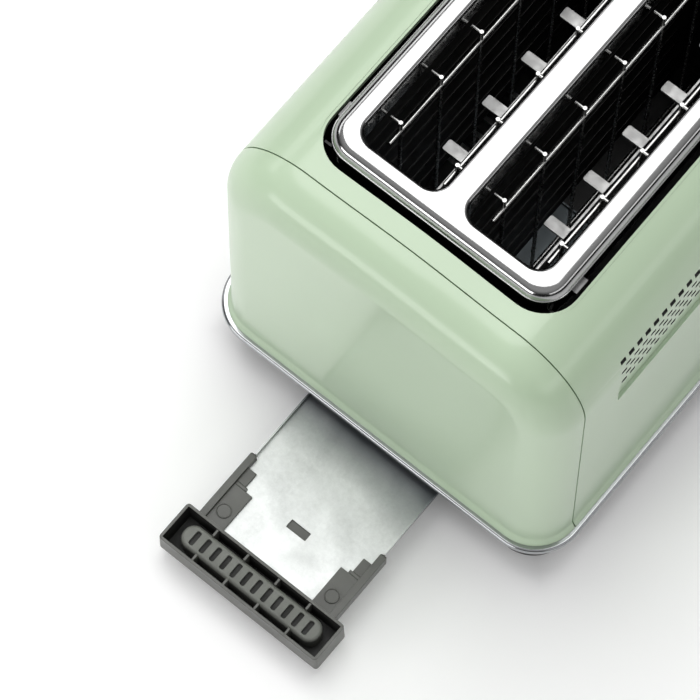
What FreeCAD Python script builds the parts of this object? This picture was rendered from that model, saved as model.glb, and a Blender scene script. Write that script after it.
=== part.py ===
import FreeCAD, Part
import math
import os

# Two-slice retro toaster with its crumb tray drawn part of the way out.
#
# Frame: millimetres, +Z up, origin on the table under the middle of the base ring.
# +Y points to the rear, where the crumb tray slides out. The lever, the buttons and the
# dial are on the -Y end. +X is on the right hand of someone who faces the lever.
# Each function builds one sub-part and export() writes it to parts/NODE.step.

V = FreeCAD.Vector
X_AXIS = V(1, 0, 0)
Y_AXIS = V(0, 1, 0)
Z_AXIS = V(0, 0, 1)

# ---------------------------------------------------------------- driving dimensions
# Base ring and feet
RING_LENGTH = 284.0
RING_WIDTH = 178.0
RING_CORNER = 21.5
RING_BAND = 8.0
RING_BOTTOM = 23.0
RING_TOP = 26.5
RING_EDGE = 1.4
FOOT_HEIGHT = 6.0
FOOT_RADIUS = 11.0
FOOT_INSET_X = 28.0
FOOT_INSET_Y = 30.0
SCREW_RADIUS = 1.6
SCREW_HEAD_RADIUS = 3.4
SCREW_HEAD_HEIGHT = 2.2
SCREW_LENGTH = 14.0
SCREW_CLEARANCE = 0.2

# Painted casing: one wrap-around shell and two pillow-shaped end caps
SHELL_TOP = 183.0
BODY_INSET = 7.0            # waist of the body inside the base ring, each side
BODY_TAPER = 3.0            # how much wider each side is at its foot
SHOULDER_RADIUS = 34.0
CROWN_RADIUS = 600.0
SHELL_WALL = 1.2
CAP_WALL = 1.6
CAP_FROM_END = 4.0          # flat end face of a cap, from the end of the ring
CAP_FILLET = 18.0
SEAM_PAST_FILLET = 0.9      # the seam with the shell lies this far past the cap's rounding
SEAM_GAP = 0.4
TUCK_DEPTH = 5.0            # flange of a cap that tucks under the shell
TUCK_WALL = 1.0
TUCK_CLEARANCE = 0.15
LIP_REACH = 2.0             # the lip stays this far inside the ring's outline
LIP_HEIGHT = 4.4
LIP_CHAMFER = 3.4

# Bread slots and the polished plate around them
SLOT_WIDTH = 38.0
SLOT_LENGTH = 149.0
SLOT_CORNER = 7.0
SLOT_BRIDGE = 11.2          # metal between the two slots
SLOT_REAR_FROM_SEAM = 21.5  # rear end of the slots, from the seam with the rear cap
SLOT_ROLL_DEPTH = 7.0
PLATE_SIDE_MARGIN = 10.6
PLATE_END_MARGIN = 9.6
PLATE_CORNER = 12.5
PLATE_STAND = 5.0           # top of the plate above the top of the shell
PLATE_THICKNESS = 1.2
PLATE_SKIRT = 12.0
PLATE_ROUND = 2.6
PLATE_GAP = 3.1             # dark gap between plate and shell
RIM_WIDTH = 2.5
RIM_DEPTH = 6.0

# Side vents: a flat pocket with slanted columns of small slots
VENT_PLANE = 80.8
VENT_BOTTOM_DROP = 60.0     # drops are measured from the top of the shell
VENT_TOP_DROP = 19.0
VENT_PAD = 1.3
VENT_PITCH = 4.95
VENT_ROWS = 5
VENT_ROW_STEP = 5.85
VENT_ROW_SLANT = 3.05
VENT_FIRST_ROW_DROP = 49.4
VENT_EDGE_MARGIN = 2.4
VENT_FIRST_OFFSET = 4.9     # first slot of the lowest row, from the rear end of the pocket
VENT_SLOT_LENGTH = 3.0
VENT_SLOT_HEIGHT = 1.5

# Base pan
PAN_INSET = 4.5
PAN_WALL = 2.0
PAN_FLOOR = 2.0
PAN_CHAMFER = 2.0
VENT_SLIT_LENGTH = 34.0
VENT_SLIT_WIDTH = 3.0
VENT_SLIT_PITCH = 8.0
VENT_SLIT_COUNT = 6
VENT_SLIT_X = 58.0

# Crumb tray
TRAY_OUT = 85.0             # how far the tray stands out in this pose
TRAY_PLATE_HALF = 33.6
TRAY_PLATE_LENGTH = 198.0
TRAY_PLATE_Z = 13.9
TRAY_SHEET = 0.6
TRAY_EDGE_HEIGHT = 2.6
TRAY_WINDOW_X = 9.9
TRAY_WINDOW_Y = 4.0
TRAY_WINDOW_FROM_HANDLE = 19.9
HANDLE_HALF = 40.6
HANDLE_DEPTH = 18.8
HANDLE_BOTTOM = 7.0
HANDLE_TOP = 19.0
HANDLE_WALL = 1.3
HANDLE_FLOOR = 1.6
HANDLE_RECESS = 1.5         # the shut handle sits this far inside the ring's end
HANDLE_CLEARANCE = 1.0
RIB_PITCH = 16.0
RIB_COUNT = 4
RIB_THICKNESS = 1.2
RIB_TOP_DROP = 1.2
GRIP_LENGTH = 70.0
GRIP_WIDTH = 10.6
GRIP_TOP_DROP = 2.0
GRIP_SLOT_COUNT = 12
GRIP_SLOT_PITCH = 5.3
GRIP_SLOT_LENGTH = 6.6
GRIP_SLOT_WIDTH = 2.2
GRIP_SLOT_CORNER = 0.95
GRIP_SLOT_DEPTH = 1.6
ARM_INSET = 1.5             # inner face of an arm, inside the plate's side edge
ARM_THICKNESS = 3.1
ARM_BOTTOM = 10.5
ARM_TOP = 17.2
ARM_LENGTH = 33.0
PAD_HEIGHT = 1.1
PAD_STEPS = ((23.0, 18.7), (26.6, 20.2), (27.8, 27.2))   # inner edge, reach from the handle
PAD_BOSS_RADIUS = 3.2
PAD_BOSS_HEIGHT = 0.5
PAD_BOSS_X = 28.0
PAD_BOSS_FROM_HANDLE = 6.9
TONGUE_HALF = 9.0           # tongue of the handle under the window in the plate
TONGUE_REACH = 26.0
RAIL_CLEARANCE = 4.6        # rails and ledges go by the side edge of the tray's plate
RAIL_WALL = 1.6
RAIL_HEIGHT = 11.0
LEDGE_OVERLAP = 2.6
LEDGE_HEIGHT = 1.3
LEDGE_CLEARANCE = 0.3

# Chassis
CHASSIS_SHEET = 1.0
CHASSIS_SIDE_MARGIN = 11.0
CHASSIS_TOP_GAP = 1.0       # below the plate's skirt
CHASSIS_REAR_GAP = 4.4      # rear plate behind the slots
CHASSIS_FRONT_GAP = 6.0     # front plate ahead of the slots
TRAY_TUNNEL_CLEARANCE = 2.2
TRAY_TUNNEL_TOP = 22.0
LIFTER_SLIT_WIDTH = 4.0
LIFTER_SLIT_ABOVE = 6.0     # above the fingers when up
LIFTER_SLIT_BELOW = 9.8     # below the webs when down

# Heating elements
BOARD_THICKNESS = 1.0
BOARD_BOTTOM = 46.0
BOARD_TOP_DROP = 16.0       # this and the next drops are measured from the top plate
BOARD_END_GAP = 0.5
BOARD_FROM_SLOT = 4.2
RIBBON_COUNT = 9
RIBBON_HEIGHT = 2.4
RIBBON_THICKNESS = 0.3
RIBBON_MARGIN = 8.0
SHIELD_FROM_BOARD = 4.8
SHIELD_SHEET = 0.6

# Wire guards
GUARD_FROM_EDGE = 5.5
GUARD_WIRE = 0.8
GUARD_BAR_WIRE = 0.9
GUARD_HOOK_WIRE = 0.75
GUARD_BAR_OFFSET = 0.4      # the bars are welded on the slot's side of the upright wires
GUARD_PITCH = 24.0
GUARD_COUNT = 6
GUARD_FIRST_FROM_SLOT_END = 19.3
GUARD_BOTTOM = 58.0
GUARD_TOP_DROP = 16.0
GUARD_BAR_DROP = 22.0
GUARD_HOOK = 4.6
GUARD_BAR_OVERHANG = 7.0

# Bread carriage
CARRIAGE_TRAVEL = 68.0
FINGER_TOP_DROP = 52.0
FINGER_SHEET = 1.2
FINGER_LENGTH = 9.4
FINGER_WIDTH = 5.2
FINGER_PITCH = 24.0
FINGER_COUNT = 5
FINGER_FIRST_FROM_SLOT_END = 29.4
WEB_OFFSET = 4.6
WEB_HEIGHT = 11.0
ROD_RADIUS = 3.0
ROD_X = 16.0
ROD_FROM_CHASSIS = 36.0
ROD_TOP_DROP = 18.0
RUNNING_CLEARANCE = 0.05
BUSHING_RADIUS = 6.0
BUSHING_LENGTH = 20.0
BUSHING_DROP = 4.8           # bottom of the bush below the lifters' webs
BRACKET_FROM_CHASSIS = 22.0
BRACKET_HALF = 34.0
LEVER_ARM_THICKNESS = 2.0
LEVER_ARM_HEIGHT = 9.0
LEVER_ARM_DROP = 37.0
KNOB_DEPTH = 20.0
KNOB_HALF = 17.0
KNOB_HEIGHT = 14.0
KNOB_STANDOFF = 2.5
KNOB_ROUND = 4.0
KNOB_SOCKET = 12.0           # how far the lever arm goes into the knob
SPRING_WIRE = 0.6
SPRING_RADIUS = 4.4
SPRING_PITCH = 8.0
SPRING_END_GAP = 0.6
MAGNET_SIZE = 16.0
MAGNET_X = -22.0
MAGNET_GAP = 0.4
ARMATURE_THICKNESS = 2.0
MAGNET_HEIGHT = 24.0

# Front controls
LEVER_SLOT_HALF = 2.6
LEVER_SLOT_MARGIN = 2.0
TRIM_WIDTH = 2.6
TRIM_STAND = 0.8
BUTTON_RADIUS = 5.2
BUTTON_CLEARANCE = 0.3
BUTTON_TRAVEL = 2.0
BUTTON_STAND = 3.0
BUTTON_BELOW_SLOT = 10.0    # button centres below the lever slot
BUTTON_PITCH = 27.0
BUTTON_FLANGE = 1.4
BUTTON_STEM_RADIUS = 2.0
BEZEL_BAND = 1.4
BEZEL_STAND = 1.0
DIAL_RADIUS = 13.5
DIAL_BELOW_BUTTONS = 24.0
DIAL_DEPTH = 15.0
DIAL_BODY_DEPTH = 9.0        # the round body; the pointer rib stands out of it
DIAL_RIB_HALF = 2.7
DIAL_RIB_SINK = 1.5
DIAL_RIB_REACH = 12.15
DIAL_GAP = 1.2
DIAL_BEZEL_CLEARANCE = 0.7
SHAFT_RADIUS = 2.95
POT_RADIUS = 8.0
POT_DEPTH = 13.0
CAP_BORE_CLEARANCE = 0.4
BOARD_FROM_CAP = 26.0
PCB_THICKNESS = 1.6
PCB_HALF = 42.0
PCB_BOTTOM = 32.0
PCB_ABOVE_BUTTONS = 6.0
SWITCH_SIZE = 6.0
SWITCH_DEPTH = 3.6
SWITCH_PLUNGER = 1.0
POST_WIDTH = 8.0
POST_DEPTH = 5.0
GLAND_RADIUS = 4.9
GLAND_BORE = 3.5
GLAND_Y = 78.0
GLAND_FLANGE = 1.3
GLAND_STAND = 2.2
FIT_GAP = 0.3               # plain clearance between neighbouring pieces
THROUGH = 5.0               # how far a cutting tool runs past a face

# ---------------------------------------------------------------- worked-out places
RING_HALF = RING_WIDTH / 2
END_Y = RING_LENGTH / 2
BODY_HALF = RING_HALF - BODY_INSET
CAP_Y = END_Y - CAP_FROM_END
SEAM_Y = CAP_Y - CAP_FILLET - SEAM_PAST_FILLET
SLOT_REAR = SEAM_Y - SLOT_REAR_FROM_SEAM
SLOT_FRONT = SLOT_REAR - SLOT_LENGTH
SLOT_CENTRE = (SLOT_BRIDGE + SLOT_WIDTH) / 2
PLATE_HALF = SLOT_CENTRE + SLOT_WIDTH / 2 + PLATE_SIDE_MARGIN
PLATE_REAR = SLOT_REAR + PLATE_END_MARGIN
PLATE_FRONT = SLOT_FRONT - PLATE_END_MARGIN
PLATE_TOP = SHELL_TOP + PLATE_STAND
VENT_BOTTOM = SHELL_TOP - VENT_BOTTOM_DROP
VENT_TOP = SHELL_TOP - VENT_TOP_DROP
VENT_FIRST_ROW = SHELL_TOP - VENT_FIRST_ROW_DROP
BOARD_TOP = PLATE_TOP - BOARD_TOP_DROP
GUARD_TOP = PLATE_TOP - GUARD_TOP_DROP
GUARD_BAR_Z = PLATE_TOP - GUARD_BAR_DROP
FINGER_TOP = PLATE_TOP - FINGER_TOP_DROP
ROD_TOP = PLATE_TOP - ROD_TOP_DROP
LEVER_ARM_Z = PLATE_TOP - LEVER_ARM_DROP
BOARD_OFFSET = SLOT_CENTRE + SLOT_WIDTH / 2 + BOARD_FROM_SLOT
SHIELD_OFFSET = BOARD_OFFSET + SHIELD_FROM_BOARD
OPENING_HALF = PLATE_HALF + PLATE_GAP
OPENING_REAR = PLATE_REAR + PLATE_GAP
OPENING_FRONT = PLATE_FRONT - PLATE_GAP
OPENING_CORNER = PLATE_CORNER + PLATE_GAP
PAN_HALF = RING_HALF - PAN_INSET
PAN_END = END_Y - PAN_INSET
PAN_BOTTOM = FOOT_HEIGHT
PAN_FLOOR_TOP = PAN_BOTTOM + PAN_FLOOR
RAIL_INNER = TRAY_PLATE_HALF + RAIL_CLEARANCE
LEDGE_INNER = TRAY_PLATE_HALF - LEDGE_OVERLAP
ARM_INNER = TRAY_PLATE_HALF - ARM_INSET
ARM_OUTER = ARM_INNER + ARM_THICKNESS
TRAY_TUNNEL_HALF = RAIL_INNER + RAIL_WALL + TRAY_TUNNEL_CLEARANCE
SHUT_HANDLE_REAR = END_Y - HANDLE_RECESS
HANDLE_REAR = SHUT_HANDLE_REAR + TRAY_OUT
HANDLE_FRONT = HANDLE_REAR - HANDLE_DEPTH
CHASSIS_REAR = SLOT_REAR + CHASSIS_REAR_GAP
CHASSIS_FRONT = SLOT_FRONT - CHASSIS_FRONT_GAP
CHASSIS_HALF = SLOT_CENTRE + SLOT_WIDTH / 2 + CHASSIS_SIDE_MARGIN
CHASSIS_TOP = PLATE_TOP - PLATE_SKIRT - CHASSIS_TOP_GAP
ROD_Y = CHASSIS_FRONT - ROD_FROM_CHASSIS
BRACKET_Y = CHASSIS_FRONT - BRACKET_FROM_CHASSIS
WEB_TOP = FINGER_TOP - FINGER_SHEET
LIFTER_SLIT_TOP = FINGER_TOP + LIFTER_SLIT_ABOVE
LIFTER_SLIT_BOTTOM = WEB_TOP - WEB_HEIGHT - CARRIAGE_TRAVEL - LIFTER_SLIT_BELOW
BUSHING_BOTTOM = WEB_TOP - WEB_HEIGHT - BUSHING_DROP
CAP_FACE = -CAP_Y
CAP_INNER = CAP_FACE + CAP_WALL
PCB_FACE = CAP_FACE + BOARD_FROM_CAP
BUTTON_X = (-BUTTON_PITCH, 0.0, BUTTON_PITCH)
LEVER_SLOT_TOP = LEVER_ARM_Z + LEVER_ARM_HEIGHT + LEVER_SLOT_MARGIN
LEVER_SLOT_BOTTOM = LEVER_ARM_Z - CARRIAGE_TRAVEL - LEVER_SLOT_MARGIN
BUTTON_Z = LEVER_SLOT_BOTTOM - BUTTON_BELOW_SLOT
DIAL_Z = BUTTON_Z - DIAL_BELOW_BUTTONS
PCB_TOP = BUTTON_Z + PCB_ABOVE_BUTTONS
FOOT_X = RING_HALF - FOOT_INSET_X
FOOT_Y = END_Y - FOOT_INSET_Y
FOOT_PLACES = [(sx * FOOT_X, sy * FOOT_Y) for sx in (-1, 1) for sy in (-1, 1)]

# Outline of the body's cross-section: two tapered sides, two shoulders and a crown, all tangent
SHOULDER_X = BODY_HALF - SHOULDER_RADIUS
CROWN_Z = SHELL_TOP - CROWN_RADIUS
SHOULDER_Z = CROWN_Z + math.sqrt((CROWN_RADIUS - SHOULDER_RADIUS) ** 2 - SHOULDER_X ** 2)
SIDE_RUN = BODY_HALF + BODY_TAPER - SHOULDER_X
SIDE_RISE = SHOULDER_Z - RING_TOP
SIDE_LEAN = (math.acos(SHOULDER_RADIUS / math.hypot(SIDE_RUN, SIDE_RISE))
             - math.atan2(SIDE_RISE, SIDE_RUN))
CROWN_ANGLE = math.atan2(SHOULDER_Z - CROWN_Z, SHOULDER_X)


# ---------------------------------------------------------------- helpers
def box(x0, x1, y0, y1, z0, z1):
    """Block between two corners."""
    return Part.makeBox(x1 - x0, y1 - y0, z1 - z0, V(x0, y0, z0))


def rod(radius, start, length, axis=Z_AXIS):
    """Cylinder from a start point along an axis."""
    return Part.makeCylinder(radius, length, start, axis)


def join(shapes):
    """Fuse overlapping solids into one clean solid."""
    return shapes[0].fuse(shapes[1:]).removeSplitter()


def upright_edges(shape):
    """Straight edges that run along Z."""
    tall = [e for e in shape.Edges if e.BoundBox.XLength < 1e-6 and e.BoundBox.YLength < 1e-6]
    return [e for e in tall if e.BoundBox.ZLength > 1e-6]


def edges_at_height(shape, z):
    """Edges that lie in the horizontal plane at z."""
    return [e for e in shape.Edges if abs(e.BoundBox.ZMin - z) < 1e-6 and abs(e.BoundBox.ZMax - z) < 1e-6]


def rounded_prism(half_x, y0, y1, corner, z0, z1, centre_x=0.0):
    """Upright prism with a rounded rectangular outline."""
    block = box(centre_x - half_x, centre_x + half_x, y0, y1, z0, z1)
    return block.makeFillet(corner, upright_edges(block))


def polar(centre_x, centre_z, radius, angle, y):
    """Point on a circle in a plane of constant y."""
    return V(centre_x + radius * math.cos(angle), y, centre_z + radius * math.sin(angle))


def side_x(z, inset=0.0):
    """Half-width of the body's flat side at height z, inset inwards."""
    spread = (SHOULDER_Z - z) * math.tan(SIDE_LEAN)
    return SHOULDER_X + (SHOULDER_RADIUS - inset) / math.cos(SIDE_LEAN) + spread


def body_block(y0, y1, inset, bottom):
    """Solid slice of the body between y0 and y1, with its outline inset inwards."""
    shoulder = SHOULDER_RADIUS - inset
    crown = CROWN_RADIUS - inset
    middle = (SIDE_LEAN + CROWN_ANGLE) / 2
    start = V(side_x(bottom, inset), y0, bottom)
    low = polar(SHOULDER_X, SHOULDER_Z, shoulder, SIDE_LEAN, y0)
    halfway = polar(SHOULDER_X, SHOULDER_Z, shoulder, middle, y0)
    high = polar(SHOULDER_X, SHOULDER_Z, shoulder, CROWN_ANGLE, y0)
    apex = V(0, y0, CROWN_Z + crown)

    def mirrored(point):
        return V(-point.x, point.y, point.z)

    edges = [
        Part.LineSegment(start, low),
        Part.Arc(low, halfway, high),
        Part.Arc(high, apex, mirrored(high)),
        Part.Arc(mirrored(high), mirrored(halfway), mirrored(low)),
        Part.LineSegment(mirrored(low), mirrored(start)),
        Part.LineSegment(mirrored(start), start),
    ]
    wire = Part.Wire([edge.toShape() for edge in edges])
    return Part.Face(wire).extrude(V(0, y1 - y0, 0))


def cap_block(inset, bottom, seam):
    """Solid pillow end at +Y: a slice of the body whose end face is rounded all round."""
    end = CAP_Y - inset
    block = body_block(seam, end, inset, bottom)
    rounded = [e for e in block.Edges
               if abs(e.BoundBox.YMin - end) < 1e-6 and abs(e.BoundBox.YMax - end) < 1e-6
               and e.BoundBox.ZMax > bottom + 1e-3]
    return block.makeFillet(CAP_FILLET - inset, rounded)


def lip_block(y0, y1):
    """Flared lip at the foot of the casing, between y0 and y1."""
    half = RING_HALF - LIP_REACH
    end = END_Y - LIP_REACH / 2
    top = RING_TOP + LIP_HEIGHT
    lip = rounded_prism(half, -end, end, RING_CORNER, RING_TOP, top)
    lip = lip.makeChamfer(LIP_CHAMFER, edges_at_height(lip, top))
    return lip.common(box(-RING_HALF, RING_HALF, y0, y1, RING_TOP, top))


def opening_block(grow, z0, z1):
    """Prism with the outline of the opening in the shell's top."""
    return rounded_prism(OPENING_HALF + grow, OPENING_FRONT - grow, OPENING_REAR + grow,
                         OPENING_CORNER + grow, z0, z1)


def to_front(shape):
    """Mirror a piece from the rear end to the front end."""
    return shape.mirror(V(0, 0, 0), Y_AXIS)


def export(name, shape):
    """Write one sub-part, after a check that it is made of closed solids."""
    solids = shape.Solids
    if not solids or not shape.isValid():
        raise RuntimeError(name + " is not a valid solid")
    result = solids[0] if len(solids) == 1 else Part.makeCompound(solids)
    result.exportStep("parts/" + name + ".step")
    print(name, len(solids), round(sum(s.Volume for s in solids), 1))


# ---------------------------------------------------------------- casing
def vent_slots():
    """Places (y, z) of the side vent slots: slanted columns, cut off at the pocket's ends."""
    places = []
    columns = int(SLOT_LENGTH / VENT_PITCH) + VENT_ROWS
    for row in range(VENT_ROWS):
        first = SLOT_REAR - VENT_FIRST_OFFSET + row * VENT_ROW_SLANT
        z = VENT_FIRST_ROW + row * VENT_ROW_STEP
        for column in range(-VENT_ROWS, columns):
            y = first - column * VENT_PITCH
            if SLOT_FRONT + VENT_EDGE_MARGIN < y < SLOT_REAR - VENT_EDGE_MARGIN:
                places.append((y, z))
    return places


def main_shell():
    """Painted wrap-around shell with the top opening and the vented pocket in each side."""
    y0 = -SEAM_Y + SEAM_GAP
    y1 = SEAM_Y - SEAM_GAP
    outside = body_block(y0, y1, 0.0, RING_TOP)
    inside = body_block(y0 - THROUGH, y1 + THROUGH, SHELL_WALL, RING_TOP - THROUGH)
    rim = opening_block(RIM_WIDTH, SHELL_TOP - RIM_DEPTH, SHELL_TOP)
    pads = [box(side * VENT_PLANE - VENT_PAD, side * VENT_PLANE + VENT_PAD, SLOT_FRONT - VENT_PAD,
                SLOT_REAR + VENT_PAD, VENT_BOTTOM - VENT_PAD, VENT_TOP).common(outside) for side in (-1, 1)]
    shell = outside.fuse(lip_block(y0, y1)).cut(inside)
    shell = shell.fuse([rim] + pads)
    cuts = [opening_block(0.0, SHELL_TOP - RIM_DEPTH - THROUGH, SHELL_TOP + THROUGH)]
    for side in (-1, 1):
        near = side * VENT_PLANE
        far = side * (RING_HALF + THROUGH)
        cuts.append(box(min(near, far), max(near, far), SLOT_FRONT, SLOT_REAR, VENT_BOTTOM, VENT_TOP))
    shell = shell.cut(cuts)
    slots = [box(-RING_HALF, RING_HALF, y - VENT_SLOT_LENGTH / 2, y + VENT_SLOT_LENGTH / 2,
                 z - VENT_SLOT_HEIGHT / 2, z + VENT_SLOT_HEIGHT / 2) for y, z in vent_slots()]
    return shell.cut(Part.makeCompound(slots)).removeSplitter()


def plain_cap():
    """Pillow-shaped end cap at +Y with the flange that tucks under the shell."""
    outside = cap_block(0.0, RING_TOP, SEAM_Y).fuse(lip_block(SEAM_Y, END_Y))
    tuck = body_block(SEAM_Y - TUCK_DEPTH, SEAM_Y + CAP_WALL, SHELL_WALL + TUCK_CLEARANCE, RING_TOP)
    hollow = cap_block(CAP_WALL, RING_TOP - THROUGH, SEAM_Y)
    channel_inset = SHELL_WALL + TUCK_CLEARANCE + TUCK_WALL
    channel = body_block(SEAM_Y - TUCK_DEPTH - THROUGH, SEAM_Y + CAP_WALL * 2, channel_inset,
                         RING_TOP - THROUGH)
    return outside.cut(hollow).fuse(tuck).cut(channel).removeSplitter()


def front_end_cap():
    """Front cap with the lever slot, the three button holes and the dial's shaft hole."""
    depth = CAP_WALL + 2 * THROUGH
    start = CAP_FACE - THROUGH
    holes = [box(-LEVER_SLOT_HALF, LEVER_SLOT_HALF, start, start + depth, LEVER_SLOT_BOTTOM, LEVER_SLOT_TOP)]
    for x in BUTTON_X:
        holes.append(rod(BUTTON_RADIUS + BUTTON_CLEARANCE, V(x, start, BUTTON_Z), depth, Y_AXIS))
    holes.append(rod(SHAFT_RADIUS + CAP_BORE_CLEARANCE, V(0, start, DIAL_Z), depth, Y_AXIS))
    return to_front(plain_cap()).cut(holes)


def base_trim_ring():
    """Chrome band around the foot of the casing."""
    ring = rounded_prism(RING_HALF, -END_Y, END_Y, RING_CORNER, RING_BOTTOM, RING_TOP)
    rims = edges_at_height(ring, RING_TOP) + edges_at_height(ring, RING_BOTTOM)
    ring = ring.makeFillet(RING_EDGE, rims)
    inner_end = END_Y - RING_BAND
    inner = rounded_prism(RING_HALF - RING_BAND, -inner_end, inner_end, RING_CORNER - RING_BAND,
                          RING_BOTTOM - THROUGH, RING_TOP + THROUGH)
    return ring.cut(inner)


def top_plate():
    """Polished plate with two slots whose edges roll inwards."""
    skirt_bottom = PLATE_TOP - PLATE_SKIRT
    plate = rounded_prism(PLATE_HALF, PLATE_FRONT, PLATE_REAR, PLATE_CORNER, skirt_bottom, PLATE_TOP)
    plate = plate.makeFillet(PLATE_ROUND, edges_at_height(plate, PLATE_TOP))
    t = PLATE_THICKNESS
    hollow = rounded_prism(PLATE_HALF - t, PLATE_FRONT + t, PLATE_REAR - t, PLATE_CORNER - t,
                           skirt_bottom - THROUGH, PLATE_TOP - t)
    collars = []
    slots = []
    for x in (-SLOT_CENTRE, SLOT_CENTRE):
        half = SLOT_WIDTH / 2
        collars.append(rounded_prism(half + t, SLOT_FRONT - t, SLOT_REAR + t, SLOT_CORNER + t,
                                     PLATE_TOP - SLOT_ROLL_DEPTH, PLATE_TOP - t / 2, x))
        slots.append(rounded_prism(half, SLOT_FRONT, SLOT_REAR, SLOT_CORNER, skirt_bottom - THROUGH,
                                   PLATE_TOP + THROUGH, x))
    return plate.cut(hollow).fuse(collars).cut(slots).removeSplitter()


# ---------------------------------------------------------------- base
def base_pan():
    """Moulded base with the tray's rails, the posts of the control board and cooling slits."""
    corner = RING_CORNER - PAN_INSET
    pan = rounded_prism(PAN_HALF, -PAN_END, PAN_END, corner, PAN_BOTTOM, RING_BOTTOM)
    pan = pan.makeChamfer(PAN_CHAMFER, edges_at_height(pan, PAN_BOTTOM))
    inner_end = PAN_END - PAN_WALL
    hollow = rounded_prism(PAN_HALF - PAN_WALL, -inner_end, inner_end, corner - PAN_WALL,
                           PAN_FLOOR_TOP, RING_BOTTOM + THROUGH)
    pieces = []
    shut_handle_front = SHUT_HANDLE_REAR - HANDLE_DEPTH
    rail_front = shut_handle_front - TRAY_PLATE_LENGTH - HANDLE_CLEARANCE
    rail_rear = shut_handle_front - HANDLE_CLEARANCE
    ledge_top = TRAY_PLATE_Z - LEDGE_CLEARANCE
    ledge_rear = shut_handle_front - ARM_LENGTH - HANDLE_CLEARANCE
    for side in (-1, 1):
        wall = (side * RAIL_INNER, side * (RAIL_INNER + RAIL_WALL))
        ledge = (side * LEDGE_INNER, side * (RAIL_INNER + RAIL_WALL))
        pieces.append(box(min(wall), max(wall), rail_front, rail_rear, PAN_BOTTOM,
                          PAN_FLOOR_TOP + RAIL_HEIGHT))
        pieces.append(box(min(ledge), max(ledge), rail_front, ledge_rear,
                          ledge_top - LEDGE_HEIGHT, ledge_top))
        post = side * (PCB_HALF - POST_WIDTH)
        pieces.append(box(post - POST_WIDTH / 2, post + POST_WIDTH / 2, PCB_FACE + PCB_THICKNESS,
                          PCB_FACE + PCB_THICKNESS + POST_DEPTH, PAN_BOTTOM, PCB_BOTTOM + POST_WIDTH))
    for x, y in FOOT_PLACES:
        pieces.append(rod(SCREW_HEAD_RADIUS + PAN_WALL, V(x, y, PAN_BOTTOM), SCREW_LENGTH))
    pieces.append(rod(ROD_RADIUS + PAN_WALL, V(ROD_X, ROD_Y, PAN_BOTTOM), RING_BOTTOM - PAN_BOTTOM))
    pan = join([pan.cut(hollow)] + pieces)
    mouth_half = HANDLE_HALF + HANDLE_CLEARANCE
    cuts = [box(-mouth_half, mouth_half, shut_handle_front - HANDLE_CLEARANCE, END_Y + THROUGH,
                PAN_BOTTOM - THROUGH, HANDLE_TOP + HANDLE_CLEARANCE * 2)]
    for x, y in FOOT_PLACES:
        cuts.append(rod(SCREW_RADIUS + SCREW_CLEARANCE, V(x, y, PAN_BOTTOM - THROUGH),
                        SCREW_LENGTH + THROUGH))
    cuts.append(rod(ROD_RADIUS + RUNNING_CLEARANCE, V(ROD_X, ROD_Y, PAN_FLOOR_TOP), RING_BOTTOM))
    cuts.append(rod(GLAND_RADIUS + FIT_GAP / 2, V(PAN_HALF - PAN_WALL - THROUGH, GLAND_Y, gland_z()),
                    PAN_WALL + 2 * THROUGH, X_AXIS))
    for side in (-1, 1):
        for i in range(VENT_SLIT_COUNT):
            y = (i - (VENT_SLIT_COUNT - 1) / 2) * VENT_SLIT_PITCH
            x = side * VENT_SLIT_X
            cuts.append(box(x - VENT_SLIT_LENGTH / 2, x + VENT_SLIT_LENGTH / 2, y - VENT_SLIT_WIDTH / 2,
                            y + VENT_SLIT_WIDTH / 2, PAN_BOTTOM - THROUGH, PAN_FLOOR_TOP + THROUGH))
    return pan.cut(cuts)


def gland_z():
    """Height of the cord gland in the side wall of the base pan."""
    return (PAN_BOTTOM + RING_BOTTOM) / 2


def cord_gland():
    """Gland that the mains cord leaves the base through."""
    start = V(PAN_HALF - PAN_WALL - GLAND_FLANGE, GLAND_Y, gland_z())
    reach = PAN_WALL + GLAND_FLANGE + GLAND_STAND
    sleeve = rod(GLAND_RADIUS, start, reach, X_AXIS)
    flange = rod(GLAND_RADIUS + GLAND_FLANGE, start, GLAND_FLANGE, X_AXIS)
    bore = rod(GLAND_BORE, start - X_AXIS * THROUGH, reach + 2 * THROUGH, X_AXIS)
    return join([sleeve, flange]).cut(bore)


def rubber_feet():
    """Four round feet, each with a counterbore for its screw."""
    feet = []
    for x, y in FOOT_PLACES:
        foot = rod(FOOT_RADIUS, V(x, y, 0), FOOT_HEIGHT)
        foot = foot.makeChamfer(FIT_GAP * 3, edges_at_height(foot, 0))
        hole = rod(SCREW_RADIUS + SCREW_CLEARANCE, V(x, y, -THROUGH), FOOT_HEIGHT + 2 * THROUGH)
        pocket = rod(SCREW_HEAD_RADIUS + SCREW_CLEARANCE, V(x, y, -THROUGH), THROUGH + FOOT_HEIGHT / 2)
        feet.append(foot.cut([hole, pocket]))
    return Part.makeCompound(feet)


def base_screws():
    """Four screws that hold the feet and the base pan."""
    screws = []
    for x, y in FOOT_PLACES:
        head_z = FOOT_HEIGHT / 2 - SCREW_HEAD_HEIGHT
        head = rod(SCREW_HEAD_RADIUS, V(x, y, head_z), SCREW_HEAD_HEIGHT)
        shank = rod(SCREW_RADIUS, V(x, y, head_z), SCREW_LENGTH)
        slot = box(x - SCREW_HEAD_RADIUS / 4, x + SCREW_HEAD_RADIUS / 4, y - SCREW_HEAD_RADIUS,
                   y + SCREW_HEAD_RADIUS, head_z - THROUGH, head_z + SCREW_HEAD_HEIGHT / 2)
        screws.append(join([head, shank]).cut(slot))
    return Part.makeCompound(screws)


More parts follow.
